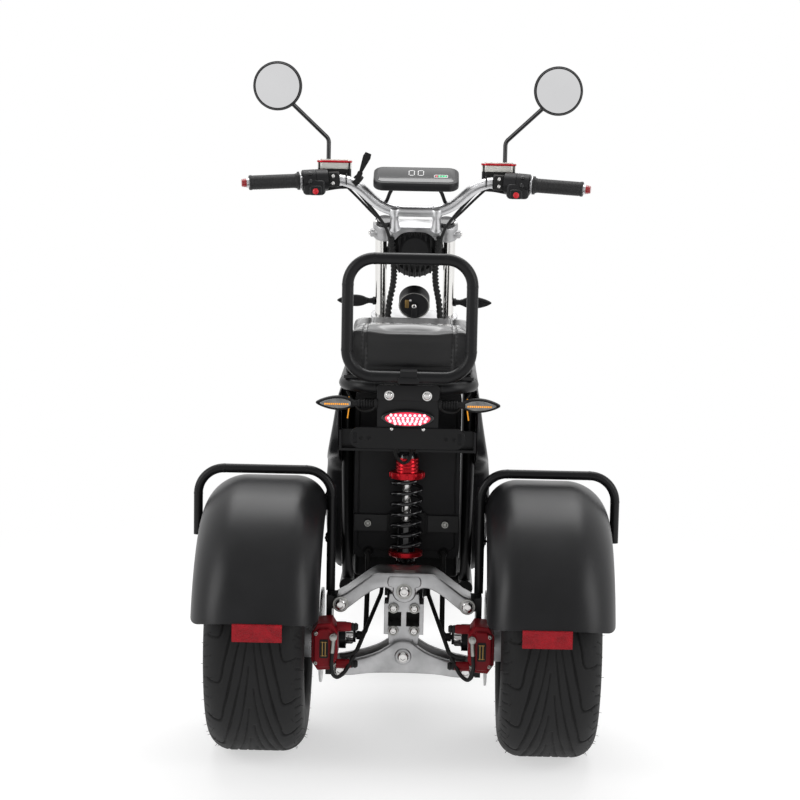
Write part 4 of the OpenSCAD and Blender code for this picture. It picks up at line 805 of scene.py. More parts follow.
# The top dips a little toward the rider
DIP = 12
dip = np.clip((behind - EDGE_Y) / 160, 0, 1) * np.clip((up - 720) / 80, 0, 1)
points[:, 2] -= dip * dip * (3 - 2 * dip) * DIP * MM
up = points[:, 2] / MM

# Sewn channels: two along the seat, one across the step and one above the hem, then the bolsters' swell
CHANNEL, SWELL = 2.6, 1.6
sewn = near_line(side - SEAM_X, 3.2)
step = near_line(behind - STEP_Y, 4.0) * (side < SEAM_X + 2) * (upward > 0.3)
hem = near_line(up - (SEAT_LOW + 16), 3.0)
channel = np.maximum(np.maximum(sewn, step), 0.7 * hem) * (up > SEAT_LOW + 8)
bolster = (side > SEAM_X + 4) * (side < BOLSTER_X) * (upward > 0.2)
bolster = bolster * np.sin(math.pi * np.clip((side - SEAM_X - 4) / 36, 0, 1))
points -= normals * (channel * CHANNEL * MM)[:, None]
points += normals * (bolster * SWELL * MM)[:, None]
points[:, 2] = np.maximum(points[:, 2], (SEAT_LOW + 0.1) * MM)
place_points(pad, points)
pad.update()
for name, value in (("panel", np.clip((SEAM_X - side) / 1.5, 0, 1) * (up > SEAT_LOW + 17)),
                    ("worn", np.clip((upward - 0.72) / 0.2, 0, 1))):
    pad.attributes.new(name, "FLOAT", "POINT").data.foreach_set("value", value.astype(np.float32))
seat = stand_in("seat_pad", pad, "seat", leather, 60, closed=False)

# Stitches beside the channels
tree = BVHTree.FromObject(seat, bpy.context.evaluated_depsgraph_get())
ABOVE = 1000
STITCH_STEP = 3.0


def on_seat(origin, way):
    hit = tree.ray_cast(spot(*origin), Vector(way))
    return None if hit[0] is None else (np.array(hit[0]) / MM - (0, REAR_AXLE_Y, 0), np.array(hit[1]))


def stitch(shape, hits, every=7.0, length=4.4, r=0.55):
    """Short threads lying on the cover along a line of hits."""
    hits = [h for h in hits if h]
    run = 0.0
    for (a, n), (b, _) in zip(hits[:-1], hits[1:]):
        gap = np.linalg.norm(b - a)
        run += gap
        if run >= every and 0.1 < gap < 12:
            run = 0.0
            half = unit(b - a) * length / 2
            middle, lift = (a + b) / 2 + n * 0.15, n * 0.45
            shape.tube([middle - half, middle - half / 2 + lift, middle + half / 2 + lift, middle + half],
                       r, 5)


threads = Shape()
for sign in SIDES:
    for offset in (-4.5, 4.5):
        x = sign * (SEAM_X + offset)
        line = [on_seat((x, -100, z), Y) for z in np.arange(SEAT_LOW + 20, 782, STITCH_STEP)]
        for a in np.linspace(0.05, math.pi / 2, 18):
            way = np.array((0, math.cos(a), -math.sin(a)))
            line.append(on_seat(np.array((x, 48, 786)) - 200 * way, way))
        line += [on_seat((x, y, ABOVE), (0, 0, -1)) for y in np.arange(52, 548, STITCH_STEP)]
        stitch(threads, line)
for y in (226, 239):
    stitch(threads, [on_seat((x, y, ABOVE), (0, 0, -1)) for x in np.arange(-82, 82, STITCH_STEP)])
piece("seat_threads", threads, "seat", matte)


# Shock and linkage

SHOCK_Y = 50
COIL_R, COIL_WIRE, COIL_LOW, COIL_HIGH, COIL_TURNS = 29, 3.7, 389, 525, 6.5
ARM_X, UPPER_Z, LOWER_Z = 121, 300, 172
UPPER_MIDDLE_Z, LOWER_MIDDLE_Z = 328, 200

turns = np.linspace(0, COIL_TURNS * TURN, 264)
rise = COIL_LOW + (COIL_HIGH - COIL_LOW) * turns / turns[-1]
coil = np.stack([COIL_R * np.cos(turns + 2.2), SHOCK_Y + COIL_R * np.sin(turns + 2.2), rise], axis=1)
stand_in("spring_coil", Shape().tube(coil, COIL_WIRE), "shock_spring", gloss, 60)

damper = Shape()
damper.lathe([(0, 0), (0, 13), (8, 19), (26, 19), (30, 17.5), (76, 17.5), (79, 15), (79, 11.5), (86, 11.5),
              (86, 0)], (0, SHOCK_Y, 358), Z, 40)
damper.lathe([(0, 0), (0, 19.5), (36, 19.5), (42, 15), (42, 0)], (0, SHOCK_Y, 546), Z, 40)
for z in (348, 594):
    eye = [(-16, 8.2), (-16, 17), (-14, 18.5), (14, 18.5), (16, 17), (16, 8.2)]
    damper.lathe(eye, (0, SHOCK_Y, z), X, 36)
stand_in("damper", damper, "shock_body", gloss)
piece("damper_rod", Shape().ring((0, SHOCK_Y, 440), Z, 0, 9.5, 112), "shock_body", steel)

collars = Shape()
for z in (544, 551, 558, 565):
    collars.ring((0, SHOCK_Y, z), Z, 20, 22.4, 2.6, 40)
for a in TURN * np.arange(12) / 12:
    out = np.array((math.cos(a), math.sin(a), 0))
    collars.slab(round_box(6, 9, 1.5, 3), 3, (0, SHOCK_Y, 535) + out * 31.5, np.cross(Z, out), Z, 0.8)
piece("shock_adjuster_rings", collars, "shock_collars", anodised)

# Arms of the linkage: two shaped cheeks joined by a web, with bosses round the bolts
upper_top = [(112, 320.5), (98, 331), (81.6, 343.2), (68, 353.4), (58, 359.6)]
upper_half = (curve([(0, 304.6), (13, 308.6), (20.5, 317), (25, 327), (33, 333), (44, 333.6), (58, 328.6),
                     (77, 316.4), (98, 299.6), (111, 289.6)], 6)
              + arc(ARM_X, UPPER_Z, 14, -110, 52, 14)
              + curve(upper_top + [(48, 362.4), (30, 362.6), (0, 362.6)], 5))
upper_web = ([(0, 353.4), (47, 353.4), (60, 347), (78, 333.5), (100, 316.5), (119, 302), (129.5, 311.2)]
             + upper_top + [(48, 362.2), (0, 362.2)])
upper_pad = (arc(0, UPPER_MIDDLE_Z, 21.5, -90, 18, 14)
             + [(30, 338), (32, 344), (31, 352), (27, 356.4), (0, 356.4)])
lower_half = (curve([(0, 167), (34, 166.6), (67, 165), (96, 161), (112, 160.2)], 6)
              + arc(ARM_X, LOWER_Z, 14, -90, 66, 14)
              + curve([(112, 187.6), (98, 190.4), (74, 196.4), (50, 205.4), (33, 215.4), (18, 225.6),
                       (8, 229), (0, 229.6)], 6))
lower_web = [(0, 167.4), (34, 167), (67, 165.4), (96, 161.4), (116, 160), (118, 169), (96, 170.4),
             (67, 174.4), (34, 176), (0, 176.4)]
lower_pad = arc(0, LOWER_MIDDLE_Z, 15.5, -90, 90, 24)
for name, level, cheek, web, boss in (("upper_arm", UPPER_Z, upper_half, upper_web, upper_pad),
                                      ("lower_arm", LOWER_Z, lower_half, lower_web, lower_pad)):
    arm = Shape()
    for front, deep in ((-42, 18), (20, 14)):
        arm.plate(whole(cheek), deep, (0, front, 0), 3.2)
    arm.plate(whole(web), 74, (0, 16, 0), 1.5)
    arm.plate(whole(boss), 5, (0, -58, 0), 1.8)
    for sign in SIDES:
        arm.lathe([(0, 0), (0, 13.2), (4.2, 13.2), (5.6, 11.8), (5.6, 0)], (sign * ARM_X, -57, level), BACK)
    stand_in(name + "_casting", arm, name, cast, 40)
# Grooves across the top of the upper arm: thin strips of darker metal that paint in the shade of their
# hollows
groove_shade_strips = Shape()
for y in (-48, -34):
    groove_shade_strips.tile(round_box(42, 5, 1.5, 3), 0.8, (0, y, 362.2), 0.3)
piece("arm_groove_painted_shade", groove_shade_strips, "upper_arm", dull_steel)

arm_ends = [(sign * ARM_X, z) for sign in SIDES for z in (UPPER_Z, LOWER_Z)]
heads, washers = shapes(2)
for x, y, z in [(0, -68, UPPER_MIDDLE_Z), (0, -66, LOWER_MIDDLE_Z)] + [(x, -66, z) for x, z in arm_ends]:
    heads.bolt((x, y + 5.5, z), BACK, 11.4, 9)
    washers.lathe([(0, 11), (0, 15), (1.6, 15), (2.2, 14.4), (2.2, 11)], (x, y + 6.2, z), BACK)
for x, z in [(sign * 20, z) for sign in SIDES for z in (248, 292)]:
    heads.bolt((x, -50, z), BACK, 7.6, 4.5)
    washers.lathe([(0, 7), (0, 9.6), (1.2, 9.6), (1.6, 9.0), (1.6, 7)], (x, -50, z), BACK, 28)
for x, z in arm_ends:
    heads.nut((x, 26, z), Y, 9.5, 7)
piece("linkage_bolt_heads", heads, "pivot_bolts", steel)
piece("linkage_washers", washers, "pivot_bolts", dull_steel)

# Rear calipers: faceted bodies with guide bosses, window with its pins, bolts, banjo and brake line
CALIPER = [(123, 214), (135, 192), (160, 190), (172, 208), (172, 262), (161, 279), (135, 281), (123, 262)]
CALIPER_FACE = [(128, 216), (138, 198), (158, 197), (167, 211), (167, 257), (158, 271), (138, 272),
                (128, 258)]
BRAKE_LINE = [(131, -150, 234), (132, -150, 222), (133, -149, 205), (130, -145, 186), (121, -136, 178),
              (108, -122, 186), (98, -108, 202), (91, -105, 212)]
GUIDE_Y, GUIDE_LEVELS = -106, (196, 268)
WINDOW_X, WINDOW_Z, PIN_Y = 148, 234, -145.5
BANJO_X, BANJO_Z = 130, 258
bodies, windows, pins, fittings, lines, boots = shapes(6)
for sign in SIDES:
    bodies.plate(on_side(CALIPER, sign), 70, (0, -66, 0), 3.0)
    bodies.plate(on_side(CALIPER_FACE, sign), 10, (0, -134, 0), 4.0)
    inward = (-sign, 0, 0)
    for z in GUIDE_LEVELS:
        bodies.lathe([(0, 0), (0, 9), (24, 9), (28, 7.6), (28, 0)], (sign * 126, GUIDE_Y, z), inward, 28)
        boots.lathe([(0, 0), (0, 7), (3, 8), (6, 6.6), (9, 8), (12, 6.6), (14, 5), (14, 0)],
                    (sign * 99, GUIDE_Y, z), inward, 24)
    windows.plate(round_box(16, 36, 2.5, 4), 2, (sign * WINDOW_X, -143.2, WINDOW_Z), 0.6)
    for x in (WINDOW_X - 2.8, WINDOW_X + 2.8):
        pins.tube(sided([(x, PIN_Y - 0.1, WINDOW_Z + z) for z in (-14, 14)], sign), 1.2, 8)
    for z in (WINDOW_Z - 13, WINDOW_Z + 13):
        pins.tube(sided([(WINDOW_X + x, PIN_Y + 0.1, z) for x in (-5.5, 5.5)], sign), 0.9, 8)
    for x, z in ((163, 262), (163, 206), (133, 206)):
        fittings.bolt((sign * x, -140.4, z), BACK, 4.4, 3.6)
    fittings.lathe([(0, 0), (0, 6.8), (9, 6.8), (9, 5), (12, 5), (12, 0)], (sign * BANJO_X, -141, BANJO_Z),
                   BACK, 24)
    fittings.nut((sign * BANJO_X, -152, BANJO_Z), BACK, 5.8, 4)
    fittings.tube(sided([(BANJO_X, -147, BANJO_Z), (131, -150, 240), (132, -150, 228)], sign), 4.4)
    lines.lead(sided(BRAKE_LINE, sign), 8, 3.8)
stand_in("caliper_bodies", bodies, "rear_calipers", caliper_red, 30)
piece("caliper_windows", windows, "rear_calipers", rubber)
piece("caliper_pins", pins, "rear_calipers", brass)
piece("caliper_fittings", fittings, "rear_calipers", dull_steel)
piece("caliper_boots", boots, "rear_calipers", rubber)
piece("caliper_lines", lines, "brake_hoses", rubber)

# Rubber boots where the leads and hoses end, and bright nuts over the ends of the wheels' stubs
boots, nuts = shapes(2)
for sign in SIDES:
    inward = (-sign, 0, 0)
    boots.lathe([(0, 0), (0, 8), (4, 8.6), (9, 7.6), (15, 6.2), (15, 0)], (sign * 92, 0, REAR_R), inward, 24)
    boots.lathe([(0, 0), (0, 9), (3, 9.6), (10, 8), (16, 6.4), (16, 0)], (sign * 74, 95, 372), BACK, 24)
    boots.lathe([(0, 0), (0, 6.4), (4, 6.8), (14, 5.6), (14, 0)], (sign * 46, 337, 300), BACK, 20)
    nuts.lathe([(0, 14.8), (0, 19.5), (2, 19.5), (2, 17.6), (13, 17.6), (15.4, 15.4), (15.4, 14.4)],
               (sign * 113, 0, REAR_R), inward, 24, (3, 4))
piece("lead_boots", boots, "motor_cables", rubber)
piece("axle_nuts", nuts, "knuckles", steel)

# Bracket and screws of the battery strap, and the seam of the battery's lid
STRAP_Y, STRAP_Z = 89, 430
clip, screws = shapes(2)
clip.plate(round_box(80, 38, 4, 4), 5, (2, STRAP_Y, STRAP_Z))
for x in (-22, 26):
    clip.plate(round_box(22, 46, 3, 4), 8, (x, STRAP_Y, STRAP_Z))
piece("strap_buckle", clip, "battery_strap", matte)
for x in (-76, 76):
    screws.bolt((x, STRAP_Y - 7, STRAP_Z), BACK, 5.0, 3.5)
    screws.ring((x, STRAP_Y - 6.4, STRAP_Z), BACK, 4, 6.4, 1.5, 28)
piece("strap_screws", screws, "battery_strap", dull_steel)
outline = round_box(190, 300, 12)
seam = Shape().tube([(x, 94.6, 525 + z) for x, z in outline + outline[:1]], 1.6, 8)
piece("battery_lid_seam", seam, "battery_box", matte)

# Tail: bolts, lamp, indicators, wires
TAIL_REAR, TAIL_PLATE = -42.4, -37.4
bolts, flange, leds = shapes(3)
for x in (-36, 36):
    bolts.bolt((x, TAIL_REAR - 0.1, 702), BACK, 7.0, 5)
    bolts.ring((x, TAIL_REAR + 0.1, 702), BACK, 6, 9.1, 1.4, 28)
for x in (-30, 30):
    bolts.bolt((x, TAIL_REAR, 638), BACK, 3.4, 2)
piece("tail_bolts", bolts, "tail_bracket", steel)
flange.plate(round_box(118, 30, 6, 4), 3, (0, TAIL_PLATE, 707), 0.8)
flange.plate(round_box(40, 12, 3, 4), 6, (0, -58.6, 733))
piece("tail_flange", flange, "tail_bracket", paint)

LAMP_Z = 660
LED_REACH, LED_RISE, LED_PITCH = 36, 12.5, 3.6


def oval(half, top, bottom, count=40):
    """An oval with different heights above and below its middle."""
    turn = np.linspace(0, TURN, count, endpoint=False)
    return [(half * math.cos(a), (top if math.sin(a) > 0 else bottom) * math.sin(a)) for a in turn]


bezel = Shape().plate(oval(50, 15.5, 17), 13, (0, TAIL_PLATE, LAMP_Z), 2.5)
stand_in("tail_lamp_bezel", bezel, "tail_lamp", gloss)
lens = Shape().plate(oval(43, 11.5, 14), 5, (0, -49.0, LAMP_Z), 2.2)
piece("tail_lamp_lens", lens, "tail_lamp", red_lens)
for z in (6.0, 0.5, -5.0, -9.5):
    reach = LED_REACH * math.sqrt(1 - (z / LED_RISE) ** 2)
    for x in np.linspace(-reach, reach, int(reach / LED_PITCH)):
        leds.lathe([(0, 3.0), (0.7, 2.8), (1.3, 1.6), (1.5, 0)], (x, -53.6, LAMP_Z + z), BACK, 12)
piece("tail_lamp_leds", leds, "tail_lamp", red_led)


def leaf(length, half, count=16):
    """The outline of an indicator's lens, from its stalk to its tip."""
    share = np.linspace(0.04, 0.985, count)
    line = list(zip(share * length, half * np.sin(math.pi * share ** 0.8) ** 0.7))
    return [(x, -y) for x, y in line] + [(x, y) for x, y in reversed(line)]


def indicator(shell, clear, lights, foot, side, back, stalk):
    """Ribbed stalk, leaf-shaped shell, clear lens and a line of lights, all facing one way."""
    foot, side, back = np.array(foot, float), np.array(side, float), np.array(back, float)
    width = np.cross(back, side)
    ribs = [(0, 0), (0, 9.5), (5, 9.5), (6, 7)]
    for start in range(8, int(stalk) - 8, 5):
        ribs += [(start, 5.6), (start + 1, 7.4), (start + 3, 7.4), (start + 4, 5.6)]
    shell.lathe(ribs + [(stalk, 6), (stalk + 6, 8), (stalk + 6, 0)], foot, side, 24)
    root = foot + side * stalk
    shell.slab(leaf(76, 13.6), 17, root - back * 10, side, width, 4.0)
    clear.slab(leaf(62, 9.2), 3, root + side * 6 + back * 6.4, side, width, 1.2)
    for i in range(12):
        place = root + side * (14 + 3.9 * i) + back * 9.2 - (0, 0, 1.0)
        lights.slab(round_box(3.0, 3.4, 0.7, 2), 0.9, place, side, width, 0.3)


for name, node, feet, back, stalk in (
        ("rear_signal", "rear_indicators", [(sign * 58, -35, 685) for sign in SIDES], BACK, 42),
        ("front_signal", "front_indicators", [fork(sign * 93, 0, 625) for sign in SIDES], Y, 14)):
    shell, clear, lights = shapes(3)
    for sign, foot in zip(SIDES, feet):
        indicator(shell, clear, lights, foot, (sign, 0, 0), back, stalk)
    stand_in(name + "_shells", shell, node, matte)
    piece(name + "_lenses", clear, node, clear_lens)
    piece(name + "_lights", lights, node, amber)

wires, amber_wires = shapes(2)
wires.lead([(-20, -34, 604), (-22, -20, 585), (-8, 0, 566), (4, 6, 572), (8, -6, 590), (10, -32, 604)],
           8, 3.2)
wires.lead([(16, -33, 606), (15, -10, 590), (12, 18, 600), (9, 40, 612)], 8, 1.6, 8)
LAMP_WIRE = [(60, -31, 680), (70, -22, 670), (92, -6, 668), (110, 4, 690), (118, 6, 703)]
SIGNAL_WIRE = [(113, -14, 694), (112, -12, 680), (114, -6, 664), (116, 8, 650)]
for sign in SIDES:
    wires.lead(sided(LAMP_WIRE, sign), 6, 2.2, 8)
    amber_wires.lead(sided(SIGNAL_WIRE, sign), 6, 1.3, 6)
piece("tail_wires", wires, "tail_bracket", rubber)
piece("tail_signal_wires", amber_wires, "rear_indicators", amber)

# Inner stays of the rear fenders and the controller under the battery box
STAY = [(137, 378), (150, 378), (151, 400), (156, 404), (156, 418), (152, 424), (154, 470), (158, 476),
        (158, 496), (150, 516), (137, 516)]
CASE_Y = 262
stays, case = shapes(2)
for sign in SIDES:
    stays.plate(on_side(STAY, sign), 4, (0, 30, 0), 0.8)
    for z in (411, 486):
        stays.bolt((sign * 153.5, 26, z), BACK, 4, 3)
piece("fender_stays", stays, "fender_rails", matte)
case.tile(round_box(206, 250, 10, 5), 46, (0, CASE_Y, 313.6), 3.0)
for i in range(15):
    case.tile(round_box(4, 226, 1.5, 3), 5, (-84 + 12 * i, CASE_Y, 309.2))
piece("controller_case", case, "battery_box", matte)


# Gauge

GAUGE_TILT = math.radians(22)
GAUGE_UP = np.array((0, math.cos(GAUGE_TILT), math.sin(GAUGE_TILT)))
GAUGE_OUT = np.array((0, -math.sin(GAUGE_TILT), math.cos(GAUGE_TILT)))
GAUGE = STEER + (0, -78.6, 102)
GAUGE_HALF = 10
CHARGE_X, CHARGE_Z = 56, -6


def on_gauge(x, z, out=0.0):
    """A place on the gauge's face, across and up it."""
    return GAUGE + (x, 0, 0) + GAUGE_UP * z + GAUGE_OUT * (GAUGE_HALF + out)


def gauge_slab(shape, outline, depth, x, z, out, soft):
    return shape.slab(outline, depth, on_gauge(x, z, out), X, GAUGE_UP, soft)


rim = gauge_slab(Shape(), round_box(193, 95, 24, 8), 20, 0, 0, -20, 5.0)
stand_in("gauge_shell", rim, "gauge", moulded)
face = gauge_slab(Shape(), round_box(176, 78, 17, 8), 1.4, 0, 0, -0.6, 0.5)
piece("gauge_face", face, "gauge", gloss)
# The lit strokes of a nought, by their places from its middle, and whether each is upright
STROKES = ((0, 1, 0), (0.5, 0.5, 1), (0.5, -0.5, 1), (0, -1, 0), (-0.5, -0.5, 1), (-0.5, 0.5, 1))
digits = Shape()
for x in (-10.4, 10.4):
    for aside, rise, tall in STROKES:
        stroke = round_box(*((1.7, 11.5) if tall else (9, 2.2)), 0.9, 3)
        gauge_slab(digits, stroke, 0.5, x + aside * 12, 10 + rise * 13, 0.75, 0.2)
piece("gauge_digits", digits, "gauge", white_led)
cell, charge, warn = shapes(3)
edge = round_box(30, 13, 2.5, 3)
cell.tube([on_gauge(CHARGE_X + x, CHARGE_Z + z, 0.9) for x, z in edge + edge[:2]], 0.8, 6)
for i in range(4):
    bar = warn if i == 0 else charge
    gauge_slab(bar, round_box(4.6, 8, 1, 2), 0.5, CHARGE_X - 10 + 6.6 * i, CHARGE_Z, 0.75, 0.2)
piece("gauge_battery_frame", cell, "gauge", white_led)
piece("gauge_charge", charge, "gauge", green_led)
piece("gauge_low_charge", warn, "gauge", button_red)

# Bracket from the gauge down to the bar
arch = Shape()
for sign in SIDES:
    arch.lead([GAUGE + (sign * 46, 6, -12), GAUGE + (sign * 58, 14, -30), STEER + (sign * 66, -46, 52),
               STEER + (sign * 71, -48.6, 46)], 8, 4.2)
arch.slab(round_box(110, 26, 6, 4), 5, GAUGE + (0, 6, -17), X, GAUGE_UP, 1.2)
piece("gauge_bracket", arch, "gauge", matte)

# Handlebar: bar, risers, paddle, grips, ends, pods, buttons, reservoirs, mirrors, cables

BAR_FOOT = STEER + (71, -48.6, 28)
BAR_BEND = STEER + (148, -66.6, 100)
BAR_END = STEER + (381, -118.6, 88)
BAR_ROUND = 44
BAR_R, BAR_THICK_R, BAR_THICK_X = 11.0, 12.6, 180
RISER_X = 48


def on_bar(x):
    """The middle of the bar's outer run at a distance across."""
    share = (abs(x) - BAR_BEND[0]) / (BAR_END[0] - BAR_BEND[0])
    return sided(BAR_BEND + (BAR_END - BAR_BEND) * share, math.copysign(1, x))


def bent(points, reach, count=8):
    """A path with its corners rounded off."""
    p = [np.array(q, float) for q in points]
    out = [p[0]]
    for a, b, c in zip(p[:-2], p[1:-1], p[2:]):
        first, last = b + unit(a - b) * reach, b + unit(c - b) * reach
        out += [first * (1 - t) ** 2 + 2 * b * t * (1 - t) + last * t * t for t in np.linspace(0, 1, count)]
    return np.array(out + [p[-1]])


bar_half = [BAR_FOOT, BAR_BEND, BAR_END]
path = bent([sided(p, -1) for p in reversed(bar_half)] + bar_half, BAR_ROUND, 10)
bar = Shape().tube(path, np.where(np.abs(path[:, 0]) < BAR_THICK_X, BAR_THICK_R, BAR_R), 28)
stand_in("bent_bar", bar, "handlebar", satin, 60)
RISER = [(0, 0), (0, 14), (3, 14.6), (9, 11), (30, 10), (40, 10.4), (46, 13.4), (62, 14.4), (66, 13),
         (68, 10), (68, 0)]
risers = Shape()
for sign in SIDES:
    foot, top = STEER + (sign * RISER_X, -14, -14), STEER + (sign * RISER_X, -48.6, 28)
    rise = unit(top - foot)
    risers.lathe(RISER, foot, rise)
    for x in (-7, 7):
        risers.bolt(top + rise * 13 + (x, 0, 0), rise, 3.0, 2.4)
piece("bar_risers", risers, "handlebar", satin)

# Paddle of the small lever on the left bend
HOLD = STEER + (-136, -64, 96)
PADDLE_X, PADDLE_UP = (0.93, 0, -0.37), (0.37, 0, 0.93)
paddle = Shape()
run = sided(BAR_BEND - BAR_FOOT, -1)
paddle.ring(HOLD - unit(run) * 7, run, 12.8, 17, 14, 24)
paddle.slab(round_box(12, 26, 4, 4), 12, HOLD + (6, -14, 10), PADDLE_X, PADDLE_UP, 2.0)
blade = [(-4, 0), (4, 0), (9, 34), (7, 44), (-7, 44), (-9, 34)]
paddle.slab(blade, 6, HOLD + (11, -16, 22), PADDLE_X, PADDLE_UP, 1.6)
piece("lever_paddle", paddle, "brake_levers", matte)

GRIP_IN, GRIP_OUT, POD_IN, POD_OUT, CLAMP_X = 264, 375, 200, 258, 187
GRIP_RIBS = 26
sleeves, ends, flanges, pods, buttons, keys = shapes(6)
for sign in SIDES:
    base, tip = on_bar(sign * GRIP_IN), on_bar(sign * GRIP_OUT)
    run, length = unit(tip - base), np.linalg.norm(tip - base)
    profile = [(0, 11.2), (0, 20.5), (3.5, 20.5), (5, 17.4), (9, 16.6)]
    for i in range(GRIP_RIBS):
        rib = 10 + (length - 20) * i / GRIP_RIBS
        profile += [(rib, 15.6), (rib + 0.9, 16.1), (rib + 2.6, 16.1), (rib + 3.5, 15.6)]
    profile += [(length - 7, 16.1), (length - 4, 17.0), (length - 1, 16.6), (length, 15), (length, 7)]
    sleeves.lathe(profile, base, run, 36)
    flanges.ring(base - run * 1.8, run, 15.5, 21.2, 1.6, 36)
    ends.lathe([(0, 0), (0, 7.5), (1, 9.6), (12, 9.6), (13, 8.6), (16, 8.6), (17, 7.4), (17, 0)], tip, run)
    inner, outer = on_bar(sign * POD_IN), on_bar(sign * POD_OUT)
    wide, middle = np.linalg.norm(outer - inner), (inner + outer) / 2
    pods.lathe([(0, 11.3), (0, 21), (2, 24), (wide * 0.48, 24.6), (wide * 0.49, 23.6), (wide * 0.51, 23.6),
                (wide * 0.52, 24.6), (wide - 2, 24), (wide, 21), (wide, 11.3)], inner, run, 40)
    pods.plate(round_box(50, 34, 9, 5), 40, middle + (0, 14, -16), 5.0)
    pods.plate(round_box(30, 22, 7, 5), 20, middle + (-sign * 4, -12, -22), 4.0)
    buttons.lathe([(0, 0), (0, 6.8), (3.4, 6.8), (4.6, 5.4), (5, 0)], middle + (-sign * 4, -31.4, -24),
                  BACK, 24)
    for share, turn in ((0.74, 4), (0.72, -40)):
        out = np.array((0, -math.cos(math.radians(turn)), -math.sin(math.radians(turn))))
        out = unit(out - run * np.dot(out, run))
        keys.lathe([(0, 0), (0, 5), (4, 5), (5, 4), (5.4, 0)], inner + run * wide * share + out * 22, out, 24)
stand_in("grip_sleeves", sleeves, "grips", grip_skin, 50)
piece("grip_flanges", flanges, "grips", satin)
piece("bar_ends", ends, "grips", red_cap)
stand_in("switch_housings", pods, "switch_pods", moulded)
piece("switch_buttons", buttons, "switch_pods", button_red)
piece("switch_keys", keys, "switch_pods", gloss)

tanks, lids, screws, seals = shapes(4)
for sign in SIDES:
    clamp = on_bar(sign * CLAMP_X)
    middle = clamp + (0, 42, 0)
    seals.tile(round_box(76, 45, 15), 22, middle + (0, 0, 2), 2.0)
    tanks.tile(round_box(77, 46, 15), 15, middle + (0, 0, 23), 1.5)
    lids.tile(round_box(80, 49, 16), 4.6, middle + (0, 0, 37), 1.4)
    tanks.tile(round_box(66, 36, 12), 4, middle + (0, 0, 40.6), 1.6)
    for turn in (0.5, 2.64, 3.64, 5.78):
        screws.bolt(middle + (37.23 * math.cos(turn), 42 * math.sin(turn), 41.4), Z, 2.2, 1.4)
    for z in (-8, 8):
        screws.bolt(clamp + (0, -19.0, z), BACK, 4.2, 3)
    seals.plate(round_box(24, 32, 5, 4), 8, clamp + (0, -12, 0), 1.2)
piece("reservoir_bodies", tanks, "brake_levers", resin)
piece("reservoir_lids", lids, "brake_levers", anodised)
piece("reservoir_seals", seals, "brake_levers", rubber)
piece("control_screws", screws, "brake_levers", steel)

# Mirrors: rounded housings with a pane on the rider's side
shells, panes, joints = shapes(3)
for sign in SIDES:
    mirror = STEER + (sign * 315, -88.6, 305)
    shells.lathe([(8, 49.0), (8, 51.5), (6, 52.6), (0, 52.6), (-9, 49), (-16, 37), (-19, 18), (-20, 0)],
                 mirror, BACK, 64)
    panes.lathe([(6.6, 0), (6.6, 49.2), (6.0, 49.6), (5.0, 49.6), (5.0, 0)], mirror, BACK, 64)
    joints.lathe([(0, 0), (0, 9), (10, 10), (16, 8), (16, 0)], mirror + (0, 14, -20), (0, 0.4, -1), 24)
piece("mirror_shells", shells, "mirrors", moulded, 50)
stand_in("mirror_panes", panes, "mirror_glass", glass)
piece("mirror_joints", joints, "mirrors", matte)

# Cables from the pods along the bar down to the head, and the wrapped looms beside the fork
LOOM = ((56, -22, 814), (52, -26, 770), (48, -30, 730), (50, -30, 690), (58, -26, 640), (62, -22, 588))
LOOM_R, LOOM_RIB, LOOM_TURNS, LOOM_SIDES = 6.6, 1.1, 20, 16
cables, ties, wrap = shapes(3)
for sign in SIDES:
    bar_run = list(STEER + sided([(140, -50, 76), (112, -44, 46), (84, -34, 12), (66, -22, -16)], sign))
    hose_run = list(STEER + sided([(150, 0, 70), (110, 6, 30), (74, 4, -8)], sign))
    cables.lead([on_bar(sign * 204) + (0, 4, -22), on_bar(sign * 170) + (0, 8, -19)] + bar_run
                + [fork(sign * 58, -24, 800), fork(sign * 58, -24, 760)], 10, 3.6)
    cables.lead([on_bar(sign * CLAMP_X) + (0, 46, 6)] + hose_run
                + [fork(sign * 52, -16, 780), fork(sign * 50, -18, 740)], 10, 3.0)
    for x in (176, 158):
        ring = [(0, 13.6 * math.cos(a), 13.6 * math.sin(a) - 2) for a in np.linspace(0, TURN, 25)]
        ties.tube(on_bar(sign * x) + np.array(ring), 1.5, 8)
    line = smooth_line([fork(sign * x, y, z) for x, y, z in LOOM], 100)
    turn = np.linspace(0, TURN * LOOM_TURNS, len(line))[:, None] + TURN * np.arange(LOOM_SIDES) / LOOM_SIDES
    wrap.tube(line, LOOM_R + LOOM_RIB * np.clip(np.sin(turn) * 2.2, -1, 1), LOOM_SIDES)
piece("control_cables", cables, "looms", rubber)
piece("cable_ties", ties, "looms", rubber)
stand_in("spiral_looms", wrap, "looms", rubber, 50)

# Top crown: two clamps round the tubes and an arched bridge between them, with caps and pinch bolts
FORK_X = 71
CROWN_LOW = 803
PINCH_Y, PINCH_Z = -12, 818
CROWN_HALF = (curve([(0, 827), (18, 825.6), (32, 820.6), (41, 812), (45, 806)], 6)
              + [(52, CROWN_LOW), (64, CROWN_LOW), (64, 836), (60, 839), (0, 839)])
crown, caps, pinch = shapes(3)
crown.slab(whole(CROWN_HALF), 40, fork(0, 18, 0), X, FORK_UP, 2.4)
for sign in SIDES:
    caps.lathe([(-6, 0), (-6, 21), (5, 21), (8, 18), (8.6, 12), (8.6, 0)], fork(sign * FORK_X, 0, 840),
               FORK_UP, 36)
    crown.lathe([(0, 20), (0, 25.5), (2, 27), (33, 27), (36, 25), (36, 20)],
                fork(sign * FORK_X, 0, CROWN_LOW), FORK_UP, 40)
    crown.lathe([(0, 0), (0, 9.5), (14, 9.5), (16, 8), (16, 0)], fork(sign * 88, PINCH_Y, PINCH_Z),
                (sign, 0, 0), 28)
